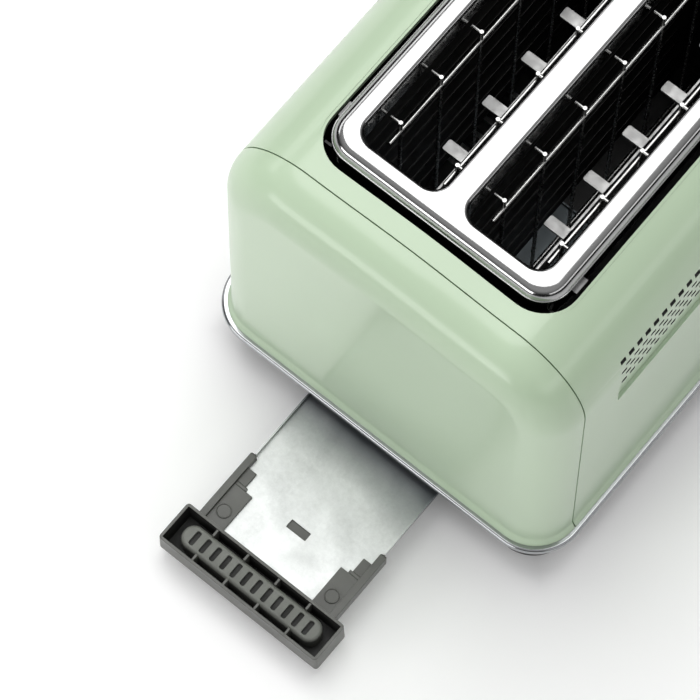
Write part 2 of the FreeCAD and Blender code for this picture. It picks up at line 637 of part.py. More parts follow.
# ---------------------------------------------------------------- chassis and heating
def chassis_plate(y):
    """Upright steel end plate that bridges the crumb tray."""
    plate = box(-CHASSIS_HALF, CHASSIS_HALF, y, y + CHASSIS_SHEET, PAN_FLOOR_TOP, CHASSIS_TOP)
    tunnel = box(-TRAY_TUNNEL_HALF, TRAY_TUNNEL_HALF, y - THROUGH, y + CHASSIS_SHEET + THROUGH,
                 PAN_FLOOR_TOP - THROUGH, TRAY_TUNNEL_TOP)
    return plate.cut(tunnel)


def rear_chassis_plate():
    """Plate behind the bread slots."""
    return chassis_plate(CHASSIS_REAR)


def front_chassis_plate():
    """Plate ahead of the bread slots, slit for the lifters, with the guide rod's bracket."""
    plate = chassis_plate(CHASSIS_FRONT - CHASSIS_SHEET)
    reach = ROD_RADIUS * 3
    tab = box(ROD_X - reach, ROD_X + reach, ROD_Y - reach, CHASSIS_FRONT, ROD_TOP - reach,
              ROD_TOP - reach + CHASSIS_SHEET)
    cuts = [rod(ROD_RADIUS + RUNNING_CLEARANCE, V(ROD_X, ROD_Y, BOARD_BOTTOM), ROD_TOP)]
    for x in (-SLOT_CENTRE, SLOT_CENTRE):
        web = x - WEB_OFFSET
        cuts.append(box(web - LIFTER_SLIT_WIDTH / 2, web + LIFTER_SLIT_WIDTH / 2, CHASSIS_FRONT - 2 * THROUGH,
                        CHASSIS_FRONT + THROUGH, LIFTER_SLIT_BOTTOM, LIFTER_SLIT_TOP))
    return join([plate, tab]).cut(cuts)


def heater_board(x):
    """Mica sheet that carries a heating element."""
    return box(x - BOARD_THICKNESS / 2, x + BOARD_THICKNESS / 2, CHASSIS_FRONT + BOARD_END_GAP,
               CHASSIS_REAR - BOARD_END_GAP, BOARD_BOTTOM, BOARD_TOP)


def heating_ribbons(x, faces):
    """Flat resistance ribbons along the faces of one mica sheet."""
    ribbons = []
    pitch = (BOARD_TOP - BOARD_BOTTOM - 2 * RIBBON_MARGIN) / (RIBBON_COUNT - 1)
    for face in faces:
        inner = x + face * BOARD_THICKNESS / 2
        outer = inner + face * RIBBON_THICKNESS
        for i in range(RIBBON_COUNT):
            z = BOARD_BOTTOM + RIBBON_MARGIN + i * pitch
            ribbons.append(box(min(inner, outer), max(inner, outer), CHASSIS_FRONT + RIBBON_MARGIN,
                               CHASSIS_REAR - RIBBON_MARGIN, z - RIBBON_HEIGHT / 2, z + RIBBON_HEIGHT / 2))
    return Part.makeCompound(ribbons)


def heat_shield(side):
    """Bright sheet between an outer heating element and the casing."""
    x = side * SHIELD_OFFSET
    return box(x - SHIELD_SHEET / 2, x + SHIELD_SHEET / 2, CHASSIS_FRONT + BOARD_END_GAP,
               CHASSIS_REAR - BOARD_END_GAP, TRAY_TUNNEL_TOP + THROUGH, CHASSIS_TOP - THROUGH)


# ---------------------------------------------------------------- wire guards
def guard_wires(x, outward):
    """Wire grid beside a slot; its top ends hook outwards over the heating element."""
    first = SLOT_REAR - GUARD_FIRST_FROM_SLOT_END
    last = first - (GUARD_COUNT - 1) * GUARD_PITCH
    wires = []
    for i in range(GUARD_COUNT):
        y = first - i * GUARD_PITCH
        wires.append(rod(GUARD_WIRE, V(x, y, GUARD_BOTTOM), GUARD_TOP - GUARD_BOTTOM + GUARD_WIRE))
        wires.append(rod(GUARD_HOOK_WIRE, V(x, y, GUARD_TOP), GUARD_HOOK, V(outward, 0, 0)))
    length = first - last + 2 * GUARD_BAR_OVERHANG
    bar_x = x - outward * GUARD_BAR_OFFSET
    for z in (GUARD_BAR_Z, GUARD_BOTTOM + GUARD_WIRE):
        wires.append(rod(GUARD_BAR_WIRE, V(bar_x, last - GUARD_BAR_OVERHANG, z), length, Y_AXIS))
    return join(wires)


def guard_place(slot_side, outer):
    """Position and outward direction of one guard of a slot."""
    outward = slot_side if outer else -slot_side
    return slot_side * SLOT_CENTRE + outward * (SLOT_WIDTH / 2 - GUARD_FROM_EDGE), outward


# ---------------------------------------------------------------- bread carriage
def bread_lifter(centre_x):
    """Upright strip along a slot with bent fingers that the bread stands on."""
    web_x = centre_x - WEB_OFFSET
    web = box(web_x - FINGER_SHEET / 2, web_x + FINGER_SHEET / 2, BRACKET_Y + FINGER_SHEET,
              SLOT_REAR - SLOT_CORNER, WEB_TOP - WEB_HEIGHT, WEB_TOP)
    pieces = [web]
    for i in range(FINGER_COUNT):
        y = SLOT_REAR - SLOT_CORNER - FINGER_FIRST_FROM_SLOT_END - i * FINGER_PITCH
        y0 = y - FINGER_WIDTH / 2
        pieces.append(box(web_x - FINGER_SHEET / 2, web_x + FINGER_LENGTH, y0, y0 + FINGER_WIDTH,
                          WEB_TOP - FIT_GAP, FINGER_TOP))
        pieces.append(box(web_x - FINGER_SHEET / 2, web_x + FINGER_SHEET / 2, y0, y0 + FINGER_WIDTH,
                          WEB_TOP - FINGER_SHEET, FINGER_TOP))
    return join(pieces)


def carriage_bracket():
    """Sheet-steel bridge that carries both lifters, the bushing, the lever arm and the armature."""
    t = FINGER_SHEET
    bottom = WEB_TOP - WEB_HEIGHT
    bridge = box(-BRACKET_HALF, BRACKET_HALF, BRACKET_Y, BRACKET_Y + t, bottom, WEB_TOP)
    reach = BUSHING_RADIUS + t * 2
    collar = box(ROD_X - reach, ROD_X + reach, ROD_Y - reach, BRACKET_Y + t, bottom, bottom + t)
    hole = rod(BUSHING_RADIUS, V(ROD_X, ROD_Y, bottom - THROUGH), THROUGH * 3)
    post = box(-LEVER_ARM_HEIGHT, LEVER_ARM_HEIGHT, BRACKET_Y, BRACKET_Y + t, bottom,
               LEVER_ARM_Z + LEVER_ARM_HEIGHT)
    half = MAGNET_SIZE / 2
    hanger = box(MAGNET_X - half, MAGNET_X + half, ROD_Y - half, BRACKET_Y + t, bottom, bottom + t)
    return join([bridge, collar, post, hanger]).cut(hole)


def lever_arm():
    """Flat bar from the carriage out through the lever slot."""
    half = LEVER_ARM_THICKNESS / 2
    return box(-half, half, CAP_FACE - KNOB_STANDOFF - KNOB_SOCKET, BRACKET_Y, LEVER_ARM_Z,
               LEVER_ARM_Z + LEVER_ARM_HEIGHT)


def lever_knob():
    """Rounded plastic lever with a socket for the arm."""
    rear = CAP_FACE - KNOB_STANDOFF
    middle = LEVER_ARM_Z + LEVER_ARM_HEIGHT / 2
    knob = box(-KNOB_HALF, KNOB_HALF, rear - KNOB_DEPTH, rear, middle - KNOB_HEIGHT / 2,
               middle + KNOB_HEIGHT / 2)
    knob = knob.makeFillet(KNOB_ROUND, knob.Edges)
    return knob.cut(lever_arm())


def carriage_bushing():
    """Sliding bush that runs on the guide rod."""
    bush = rod(BUSHING_RADIUS, V(ROD_X, ROD_Y, BUSHING_BOTTOM), BUSHING_LENGTH)
    return bush.cut(rod(ROD_RADIUS + RUNNING_CLEARANCE, V(ROD_X, ROD_Y, 0), ROD_TOP))


def carriage_guide_rod():
    """Upright steel rod that the carriage slides on."""
    return rod(ROD_RADIUS, V(ROD_X, ROD_Y, PAN_FLOOR_TOP), ROD_TOP - PAN_FLOOR_TOP)


def carriage_spring():
    """Compression spring around the guide rod that lifts the carriage."""
    bottom = RING_BOTTOM + SPRING_WIRE + SPRING_END_GAP
    height = BUSHING_BOTTOM - SPRING_WIRE - SPRING_END_GAP - bottom
    helix = Part.makeHelix(SPRING_PITCH, height, SPRING_RADIUS)
    helix.Placement = FreeCAD.Placement(V(ROD_X, ROD_Y, bottom), FreeCAD.Rotation())
    profile = Part.Wire([Part.makeCircle(SPRING_WIRE, V(ROD_X + SPRING_RADIUS, ROD_Y, bottom), Y_AXIS)])
    return Part.Wire(helix.Edges).makePipeShell([profile], True, True)


def latch_magnet():
    """Electromagnet that holds the carriage down: core, coil and foot."""
    half = MAGNET_SIZE / 2
    top = WEB_TOP - WEB_HEIGHT - ARMATURE_THICKNESS - CARRIAGE_TRAVEL - MAGNET_GAP
    bottom = top - MAGNET_HEIGHT
    core = box(MAGNET_X - half / 2, MAGNET_X + half / 2, ROD_Y - half / 2, ROD_Y + half / 2, bottom, top)
    coil = rod(half, V(MAGNET_X, ROD_Y, bottom + ARMATURE_THICKNESS), MAGNET_HEIGHT - ARMATURE_THICKNESS * 2)
    stand = box(MAGNET_X - half, MAGNET_X + half, ROD_Y - half, ROD_Y + half, PAN_FLOOR_TOP,
                bottom + ARMATURE_THICKNESS)
    return join([core, coil, stand])


def armature_plate():
    """Soft-iron plate under the carriage that the magnet holds."""
    half = MAGNET_SIZE / 2
    top = WEB_TOP - WEB_HEIGHT
    return box(MAGNET_X - half, MAGNET_X + half, ROD_Y - half, ROD_Y + half, top - ARMATURE_THICKNESS, top)


# ---------------------------------------------------------------- crumb tray
def crumb_tray_plate():
    """Steel sheet with turned-up edges and a small window near the handle."""
    front = HANDLE_FRONT - TRAY_PLATE_LENGTH
    z = TRAY_PLATE_Z
    t = TRAY_SHEET
    neck_start = HANDLE_FRONT - ARM_LENGTH - FIT_GAP
    neck_half = ARM_INNER - FIT_GAP
    sheet = box(-TRAY_PLATE_HALF, TRAY_PLATE_HALF, front, neck_start, z, z + t)
    neck = box(-neck_half, neck_half, neck_start - t, HANDLE_FRONT, z, z + t)
    edges = [box(-TRAY_PLATE_HALF, TRAY_PLATE_HALF, front, front + t, z, z + TRAY_EDGE_HEIGHT)]
    for side in (-1, 1):
        x = (side * TRAY_PLATE_HALF, side * (TRAY_PLATE_HALF - t))
        edges.append(box(min(x), max(x), front, neck_start, z, z + TRAY_EDGE_HEIGHT))
    y = HANDLE_FRONT - TRAY_WINDOW_FROM_HANDLE
    window = box(-TRAY_WINDOW_X / 2, TRAY_WINDOW_X / 2, y - TRAY_WINDOW_Y / 2, y + TRAY_WINDOW_Y / 2,
                 z - THROUGH, z + THROUGH)
    return join([sheet, neck] + edges).cut(window)


def tray_handle():
    """Moulded handle: open box with ribs, two side arms with pads on the sheet, and a tongue under it."""
    outside = rounded_prism(HANDLE_HALF, HANDLE_FRONT, HANDLE_REAR, HANDLE_WALL, HANDLE_BOTTOM, HANDLE_TOP)
    w = HANDLE_WALL
    inner_bottom = HANDLE_BOTTOM + HANDLE_FLOOR
    hollow = box(-HANDLE_HALF + w, HANDLE_HALF - w, HANDLE_FRONT + w, HANDLE_REAR - w, inner_bottom,
                 HANDLE_TOP + THROUGH)
    pieces = [outside.cut(hollow)]
    middle = (HANDLE_FRONT + HANDLE_REAR) / 2
    grip_half = GRIP_WIDTH / 2
    for i in range(RIB_COUNT):
        x = (i - (RIB_COUNT - 1) / 2) * RIB_PITCH
        for y0, y1 in ((HANDLE_FRONT, middle - grip_half), (middle + grip_half, HANDLE_REAR)):
            pieces.append(box(x - RIB_THICKNESS / 2, x + RIB_THICKNESS / 2, y0, y1, inner_bottom,
                              HANDLE_TOP - RIB_TOP_DROP))
    pieces.append(box(-TONGUE_HALF, TONGUE_HALF, HANDLE_FRONT - TONGUE_REACH, HANDLE_FRONT + w, ARM_BOTTOM,
                      TRAY_PLATE_Z - FIT_GAP))
    pad_bottom = TRAY_PLATE_Z + TRAY_SHEET
    pad_top = pad_bottom + PAD_HEIGHT
    for side in (-1, 1):
        arm = (side * ARM_INNER, side * ARM_OUTER)
        pieces.append(box(min(arm), max(arm), HANDLE_FRONT - ARM_LENGTH, HANDLE_FRONT + w, ARM_BOTTOM,
                          ARM_TOP))
        for inner, reach in PAD_STEPS:
            pad = (side * inner, side * ARM_OUTER)
            pieces.append(box(min(pad), max(pad), HANDLE_FRONT - reach, HANDLE_FRONT + w, pad_bottom,
                              pad_top))
        boss = V(side * PAD_BOSS_X, HANDLE_FRONT - PAD_BOSS_FROM_HANDLE, pad_bottom)
        pieces.append(rod(PAD_BOSS_RADIUS, boss, PAD_HEIGHT + PAD_BOSS_HEIGHT))
    return join(pieces)


def tray_grip():
    """Racetrack grip inside the handle with a row of short slots."""
    middle = (HANDLE_FRONT + HANDLE_REAR) / 2
    top = HANDLE_TOP - GRIP_TOP_DROP
    half = GRIP_WIDTH / 2
    grip = rounded_prism(GRIP_LENGTH / 2, middle - half, middle + half, half - FIT_GAP / 6,
                         HANDLE_BOTTOM + HANDLE_FLOOR, top)
    slots = []
    for i in range(GRIP_SLOT_COUNT):
        x = (i - (GRIP_SLOT_COUNT - 1) / 2) * GRIP_SLOT_PITCH
        slots.append(rounded_prism(GRIP_SLOT_WIDTH / 2, middle - GRIP_SLOT_LENGTH / 2,
                                   middle + GRIP_SLOT_LENGTH / 2, GRIP_SLOT_CORNER,
                                   top - GRIP_SLOT_DEPTH, top + THROUGH, x))
    return grip.cut(slots)


# ---------------------------------------------------------------- front controls
def control_board():
    """Circuit board behind the front cap."""
    return box(-PCB_HALF, PCB_HALF, PCB_FACE, PCB_FACE + PCB_THICKNESS, PCB_BOTTOM, PCB_TOP)


def push_switches():
    """Three tactile switches on the control board."""
    switches = []
    half = SWITCH_SIZE / 2
    for x in BUTTON_X:
        body = box(x - half, x + half, PCB_FACE - SWITCH_DEPTH, PCB_FACE, BUTTON_Z - half, BUTTON_Z + half)
        plunger = rod(BUTTON_STEM_RADIUS, V(x, PCB_FACE - SWITCH_DEPTH - SWITCH_PLUNGER, BUTTON_Z),
                      SWITCH_PLUNGER + SWITCH_DEPTH, Y_AXIS)
        switches.append(join([body, plunger]))
    return Part.makeCompound(switches)


def push_button(x):
    """Round button with a flange behind the cap and a stem to its switch."""
    front = CAP_FACE - BUTTON_STAND
    cap = rod(BUTTON_RADIUS, V(x, front, BUTTON_Z), CAP_INNER + FIT_GAP + BUTTON_FLANGE - front, Y_AXIS)
    crown = [e for e in cap.Edges if abs(e.BoundBox.YMax - front) < 1e-6]
    cap = cap.makeFillet(BUTTON_FLANGE / 2, crown)
    flange = rod(BUTTON_RADIUS + BUTTON_FLANGE, V(x, CAP_INNER + FIT_GAP, BUTTON_Z), BUTTON_FLANGE,
                 Y_AXIS)
    stem_end = PCB_FACE - SWITCH_DEPTH - SWITCH_PLUNGER - BUTTON_TRAVEL - FIT_GAP
    stem = rod(BUTTON_STEM_RADIUS, V(x, CAP_INNER, BUTTON_Z), stem_end - CAP_INNER, Y_AXIS)
    return join([cap, flange, stem])


def ring_bezel(x, z, inner, band, stand):
    """Raised ring on the face of the front cap."""
    ring = rod(inner + band, V(x, CAP_FACE - stand, z), stand, Y_AXIS)
    return ring.cut(rod(inner, V(x, CAP_FACE - THROUGH, z), 2 * THROUGH, Y_AXIS))


def button_bezels():
    """Bright rings around the buttons."""
    inner = BUTTON_RADIUS + BUTTON_CLEARANCE
    return Part.makeCompound([ring_bezel(x, BUTTON_Z, inner, BEZEL_BAND, BEZEL_STAND) for x in BUTTON_X])


def knob_bezel():
    """Bright ring around the browning dial."""
    return ring_bezel(0.0, DIAL_Z, DIAL_RADIUS + DIAL_BEZEL_CLEARANCE, BEZEL_BAND, BEZEL_STAND)


def lever_slot_trim():
    """Frame around the lever slot."""
    outer = LEVER_SLOT_HALF + TRIM_WIDTH
    frame = box(-outer, outer, CAP_FACE - TRIM_STAND, CAP_FACE, LEVER_SLOT_BOTTOM - TRIM_WIDTH / 2,
                LEVER_SLOT_TOP + TRIM_WIDTH)
    slot = box(-LEVER_SLOT_HALF, LEVER_SLOT_HALF, CAP_FACE - THROUGH, CAP_FACE + THROUGH, LEVER_SLOT_BOTTOM,
               LEVER_SLOT_TOP)
    return frame.cut(slot)


def browning_potentiometer():
    """Potentiometer on the board, bored for the dial's shaft."""
    body = rod(POT_RADIUS, V(0, PCB_FACE - POT_DEPTH, DIAL_Z), POT_DEPTH, Y_AXIS)
    bore = rod(SHAFT_RADIUS + RUNNING_CLEARANCE, V(0, PCB_FACE - POT_DEPTH - THROUGH, DIAL_Z),
               POT_DEPTH + THROUGH - PCB_THICKNESS, Y_AXIS)
    return body.cut(bore)


def knob_shaft():
    """Steel shaft from the potentiometer to the dial."""
    start = CAP_FACE - DIAL_GAP - DIAL_DEPTH / 2
    end = PCB_FACE - PCB_THICKNESS * 2
    return rod(SHAFT_RADIUS, V(0, start, DIAL_Z), end - start, Y_AXIS)


def browning_knob():
    """Dial with a raised pointer rib across its face."""
    rear = CAP_FACE - DIAL_GAP
    body_front = rear - DIAL_BODY_DEPTH
    dial = rod(DIAL_RADIUS, V(0, body_front, DIAL_Z), DIAL_BODY_DEPTH, Y_AXIS)
    rib = box(-DIAL_RIB_HALF, DIAL_RIB_HALF, rear - DIAL_DEPTH, body_front + DIAL_RIB_SINK,
              DIAL_Z - DIAL_RIB_REACH, DIAL_Z + DIAL_RIB_REACH)
    return join([dial, rib]).cut(knob_shaft())


# ---------------------------------------------------------------- write every sub-part
os.makedirs("parts", exist_ok=True)

export("main_shell", main_shell())
export("rear_end_cap", plain_cap())
export("front_end_cap", front_end_cap())
export("base_trim_ring", base_trim_ring())
export("base_pan", base_pan())
export("rubber_feet", rubber_feet())
export("base_screws", base_screws())
export("cord_gland", cord_gland())
export("top_plate", top_plate())
export("front_chassis_plate", front_chassis_plate())
export("rear_chassis_plate", rear_chassis_plate())

for board_name, board_x, board_faces in (("left", -BOARD_OFFSET, (1,)), ("centre", 0.0, (-1, 1)),
                                         ("right", BOARD_OFFSET, (-1,))):
    export("heater_board_" + board_name, heater_board(board_x))
    export("heating_ribbons_" + board_name, heating_ribbons(board_x, board_faces))

for side_name, side_sign in (("left", -1), ("right", 1)):
    export(side_name + "_heat_shield", heat_shield(side_sign))
    export(side_name + "_bread_lifter", bread_lifter(side_sign * SLOT_CENTRE))
    for guard_name, is_outer in (("outer", True), ("inner", False)):
        guard_x, guard_outward = guard_place(side_sign, is_outer)
        export(side_name + "_" + guard_name + "_guard", guard_wires(guard_x, guard_outward))

export("carriage_bracket", carriage_bracket())
export("lever_arm", lever_arm())
export("lever_knob", lever_knob())
export("carriage_bushing", carriage_bushing())
export("carriage_guide_rod", carriage_guide_rod())
export("carriage_spring", carriage_spring())
export("latch_magnet", latch_magnet())
export("armature_plate", armature_plate())

export("crumb_tray_plate", crumb_tray_plate())
export("tray_handle", tray_handle())
export("tray_grip", tray_grip())

export("control_board", control_board())
export("push_switches", push_switches())
export("browning_potentiometer", browning_potentiometer())
export("knob_shaft", knob_shaft())
export("browning_knob", browning_knob())
export("knob_bezel", knob_bezel())
export("button_bezels", button_bezels())
export("lever_slot_trim", lever_slot_trim())
for button_name, button_x in zip(("cancel_button", "defrost_button", "reheat_button"), BUTTON_X):
    export(button_name, push_button(button_x))
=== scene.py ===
import math

import bmesh
import bpy
from bpy.props import FloatProperty, FloatVectorProperty, IntProperty, PointerProperty
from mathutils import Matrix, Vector


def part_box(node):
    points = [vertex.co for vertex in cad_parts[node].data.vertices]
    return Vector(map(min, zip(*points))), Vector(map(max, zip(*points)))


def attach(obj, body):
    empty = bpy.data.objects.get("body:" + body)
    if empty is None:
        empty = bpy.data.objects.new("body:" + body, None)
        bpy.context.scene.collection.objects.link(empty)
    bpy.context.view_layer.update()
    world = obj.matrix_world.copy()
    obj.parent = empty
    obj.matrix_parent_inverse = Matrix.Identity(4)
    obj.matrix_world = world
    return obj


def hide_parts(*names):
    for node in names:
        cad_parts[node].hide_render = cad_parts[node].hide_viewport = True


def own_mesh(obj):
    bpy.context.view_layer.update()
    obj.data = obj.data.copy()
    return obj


bl_info = {
    "name": "Retro pop-up toaster",
    "version": (1, 0, 0),
    "blender": (4, 5, 0),
    "location": "3D View > Sidebar > Toaster",
    "description": "Builds the visible pieces of a two-slot toaster around its packed frame",
    "category": "Add Mesh",
}

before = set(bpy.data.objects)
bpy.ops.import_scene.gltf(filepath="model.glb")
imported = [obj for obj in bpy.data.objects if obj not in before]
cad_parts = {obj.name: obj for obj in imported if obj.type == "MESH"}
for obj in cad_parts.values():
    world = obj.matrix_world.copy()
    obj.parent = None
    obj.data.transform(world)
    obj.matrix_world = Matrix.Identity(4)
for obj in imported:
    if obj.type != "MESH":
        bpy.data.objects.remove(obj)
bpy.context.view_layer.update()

# Lengths in this file are millimetres; MM turns them into scene units.
MM = 0.001
TOLERANCE = 0.02


# ---------------------------------------------------------------- places taken from the frame
def frame_box(node):
    """Lowest and highest corner of a frame node, in millimetres."""
    low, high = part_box(node)
    return Vector(low) / MM, Vector(high) / MM


RING_LOW, RING_HIGH = frame_box("base_trim_ring")
PLATE_LOW, PLATE_HIGH = frame_box("top_plate")
SHELL_HIGH = frame_box("main_shell")[1]
HANDLE_LOW, HANDLE_HIGH = frame_box("tray_handle")
SHEET_LOW, SHEET_HIGH = frame_box("crumb_tray_plate")
GRIP_LOW, GRIP_HIGH = frame_box("tray_grip")

FOOT_Z = RING_HIGH.z                 # foot of the casing, on the ring
TOP_Z = SHELL_HIGH.z
SEAM_Y = SHELL_HIGH.y + 0.4
CAP_Y = RING_HIGH.y - 4.0            # flat end face of a cap
BODY_HALF = RING_HIGH.x - 7.0
FOOT_HALF = BODY_HALF + 3.0
SHOULDER = 34.0
CROWN = 1.9
CAP_ROUND = 18.0
SLOT_HALF = 19.0
SLOT_X = 24.6
SLOT_REAR = PLATE_HIGH.y - 9.6
SLOT_FRONT = PLATE_LOW.y + 9.6
GAP = 3.1                            # dark gap between the plate and the shell
TAB_Y = SLOT_REAR - 8.0              # clips of the plate, seen in the gap


# ---------------------------------------------------------------- sizes and colours a user may change
class ToasterSizes(bpy.types.PropertyGroup):
    """Sizes of the visible pieces that the frame leaves open"""

    shell_wall: FloatProperty(name="Shell wall", description="Thickness of the wrap-around shell",
                              default=1.2 * MM, unit="LENGTH", subtype="DISTANCE")
    cap_wall: FloatProperty(name="Cap wall", description="Thickness of an end cap",
                            default=1.6 * MM, unit="LENGTH", subtype="DISTANCE")
    lip_flare: FloatProperty(name="Lip flare", description="How far the foot of the casing flares outwards",
                             default=1.9 * MM, unit="LENGTH", subtype="DISTANCE")
    vent_rows: IntProperty(name="Vent rows", description="Rows of slots in each side vent", default=5)


class ToasterColours(bpy.types.PropertyGroup):
    """Colours of the finishes, linear"""

    enamel: FloatVectorProperty(name="Enamel", description="Mint paint of the casing", size=3,
                                subtype="COLOR", default=(0.495, 0.625, 0.448))
    steel: FloatVectorProperty(name="Steel", description="Polished steel of the top plate", size=3,
                               subtype="COLOR", default=(0.37, 0.37, 0.37))
    plastic: FloatVectorProperty(name="Handle plastic", description="Dark plastic of the tray handle",
                                 size=3, subtype="COLOR", default=(0.085, 0.086, 0.078))
    grip: FloatVectorProperty(name="Grip", description="Soft grey of the grip in the handle", size=3,
                              subtype="COLOR", default=(0.15, 0.155, 0.14))
    zinc: FloatVectorProperty(name="Tray steel", description="Galvanised steel of the crumb tray",
                              size=3, subtype="COLOR", default=(0.62, 0.63, 0.63))


class ToasterStage(bpy.types.PropertyGroup):
    """Floor, light and camera"""

    lens: FloatProperty(name="Lens", description="Focal length of the camera in millimetres",
                        default=196.16)
    key_power: FloatProperty(name="Key light", description="Power of the large soft light in watts",
                             default=16.0)
    strip_power: FloatProperty(name="Strip lights", description="Power of the long low lights in watts",
                               default=9.5)
    sky: FloatProperty(name="Surroundings", description="Brightness of the plain studio around",
                       default=0.55)


# ---------------------------------------------------------------- modelling helpers
def to_object_mode():
    """Leave edit mode and deselect everything."""
    if bpy.context.mode != "OBJECT":
        bpy.ops.object.mode_set(mode="OBJECT")
    bpy.ops.object.select_all(action="DESELECT")


def make_active(piece):
    """Select one piece alone, in object mode."""
    to_object_mode()
    piece.select_set(True)
    bpy.context.view_layer.objects.active = piece


def bake_place(piece):
    """Put a piece's place, turn and size into its mesh."""
    make_active(piece)
    bpy.ops.object.transform_apply(location=True, rotation=True, scale=True)


def start_block(name, low, high):
    """Begin a piece from a block between two corners, left in edit mode."""
    to_object_mode()
    low, high = Vector(low), Vector(high)
    bpy.ops.mesh.primitive_cube_add(size=1.0, location=(low + high) / 2 * MM)
    piece = bpy.context.object
    piece.name = name
    piece.scale = (high - low) * MM
    bake_place(piece)
    bpy.ops.object.mode_set(mode="EDIT")
    return piece


def side_block(name, side, xs, ys, zs):
    """Begin a piece from a block on one side of the middle, left in edit mode."""
    near, far = sorted((side * xs[0], side * xs[1]))
    return start_block(name, (near, ys[0], zs[0]), (far, ys[1], zs[1]))


def start_round(name, radius, start, length, axis="Z", sides=48):
    """Begin a piece from a cylinder that runs from a start point along an axis, left in edit mode."""
    to_object_mode()
    turn = {"X": (0, math.pi / 2, 0), "Y": (-math.pi / 2, 0, 0), "Z": (0, 0, 0)}[axis]
    centre = Vector(start)
    centre["XYZ".index(axis)] += length / 2
    bpy.ops.mesh.primitive_cylinder_add(vertices=sides, radius=radius * MM, depth=length * MM,
                                        location=centre * MM, rotation=turn)
    piece = bpy.context.object
    piece.name = name
    bake_place(piece)
    bpy.ops.object.mode_set(mode="EDIT")
    return piece


def pick(piece, kind, test):
    """In edit mode, select only the vertices, edges or faces that pass a test."""
    bpy.ops.mesh.select_mode(type=kind)
    bpy.ops.mesh.select_all(action="DESELECT")
    mesh = bmesh.from_edit_mesh(piece.data)
    items = {"VERT": mesh.verts, "EDGE": mesh.edges, "FACE": mesh.faces}[kind]
    count = 0
    for item in items:
        if test(item):
            item.select_set(True)
            count += 1
    mesh.select_flush_mode()
    bmesh.update_edit_mesh(piece.data)
    if not count:
        raise RuntimeError("nothing to work on in " + piece.name)
    return count


def points(item):
    """Corner points of a vertex, edge or face, in millimetres."""
    verts = [item] if isinstance(item, bmesh.types.BMVert) else item.verts
    return [v.co / MM for v in verts]


def lies(item, **places):
    """True if every point of an item lies at the given x, y or z; a tuple means between two values."""
    for axis, place in places.items():
        low, high = place if isinstance(place, tuple) else (place - TOLERANCE, place + TOLERANCE)
        if not all(low <= p["xyz".index(axis)] <= high for p in points(item)):
            return False
    return True


def runs(edge, axis):
    """True if an edge is parallel to an axis."""
    a, b = points(edge)
    along = (b - a).normalized()
    return abs(along["xyz".index(axis)]) > 0.999


def bevel(width, segments):
    """Round the selected edges."""
    bpy.ops.mesh.bevel(offset=width * MM, offset_type="OFFSET", segments=segments, profile=0.5,
                       affect="EDGES")


def cut_plane(point, normal, clear_outer=False, clear_inner=False, fill=False):
    """Bisect the whole piece by a plane."""
    bpy.ops.mesh.select_all(action="SELECT")
    bpy.ops.mesh.bisect(plane_co=Vector(point) * MM, plane_no=normal, use_fill=fill,
                        clear_outer=clear_outer, clear_inner=clear_inner)


def move(x=0.0, y=0.0, z=0.0):
    """Move what is selected."""
    bpy.ops.transform.translate(value=Vector((x, y, z)) * MM)


def inset(width):
    """Inset the selected faces."""
    bpy.ops.mesh.inset(thickness=width * MM)


def extrude(x=0.0, y=0.0, z=0.0):
    """Extrude the selected faces by a step."""
    bpy.ops.mesh.extrude_region_move(TRANSFORM_OT_translate={"value": Vector((x, y, z)) * MM})


def edit(piece):
    """Take one piece into edit mode."""
    make_active(piece)
    bpy.ops.object.mode_set(mode="EDIT")


def round_edges(piece, test, width, segments):
    """Round the edges that pass a test."""
    pick(piece, "EDGE", test)
    bevel(width, segments)


def delete_faces(piece, test):
    """Delete the faces that pass a test."""
    pick(piece, "FACE", test)
    bpy.ops.mesh.delete(type="FACE")


def tidy_mesh(distance=0.02):
    """Merge doubled points and turn all faces outwards."""
    bpy.ops.mesh.select_all(action="SELECT")
    bpy.ops.mesh.remove_doubles(threshold=distance * MM)
    bpy.ops.mesh.normals_make_consistent(inside=False)


def apply_modifier(piece, kind, **settings):
    """Add a modifier, set it up and apply it."""
    make_active(piece)
    modifier = piece.modifiers.new(kind.title(), kind)
    for key, value in settings.items():
        setattr(modifier, key, value)
    bpy.ops.object.modifier_apply(modifier=modifier.name)


def thicken(piece, wall, inner_slot=0):
    """Give an open skin its wall, inwards; the inner face may take another material slot."""
    apply_modifier(piece, "SOLIDIFY", thickness=wall, offset=-1.0, use_even_offset=True,
                   use_quality_normals=True, material_offset=inner_slot)


def soften(piece, width, segments=2, angle=40.0):
    """Round every edge sharper than an angle."""
    apply_modifier(piece, "BEVEL", width=width * MM, segments=segments, limit_method="ANGLE",
                   angle_limit=math.radians(angle), use_clamp_overlap=True)


def subtract(piece, cutter, materials="INDEX"):
    """Cut one piece out of another and remove the cutter."""
    to_object_mode()
    apply_modifier(piece, "BOOLEAN", object=cutter, operation="DIFFERENCE", solver="EXACT",
                   material_mode=materials)
    bpy.data.objects.remove(cutter, do_unlink=True)


def add_to(piece, others):
    """Join other objects into a piece, as separate shells of one mesh."""
    make_active(piece)
    for other in others:
        other.select_set(True)
    bpy.context.view_layer.objects.active = piece
    bpy.ops.object.join()


def copy_piece(piece, name):
    """Copy of a piece with its own mesh."""
    twin = piece.copy()
    twin.data = piece.data.copy()
    twin.name = name
    bpy.context.collection.objects.link(twin)
    return twin


def paint(piece, *names):
    """Give a piece the finishes of its material slots."""
    piece.data.materials.clear()
    for name in names:
        piece.data.materials.append(finish_named(name))


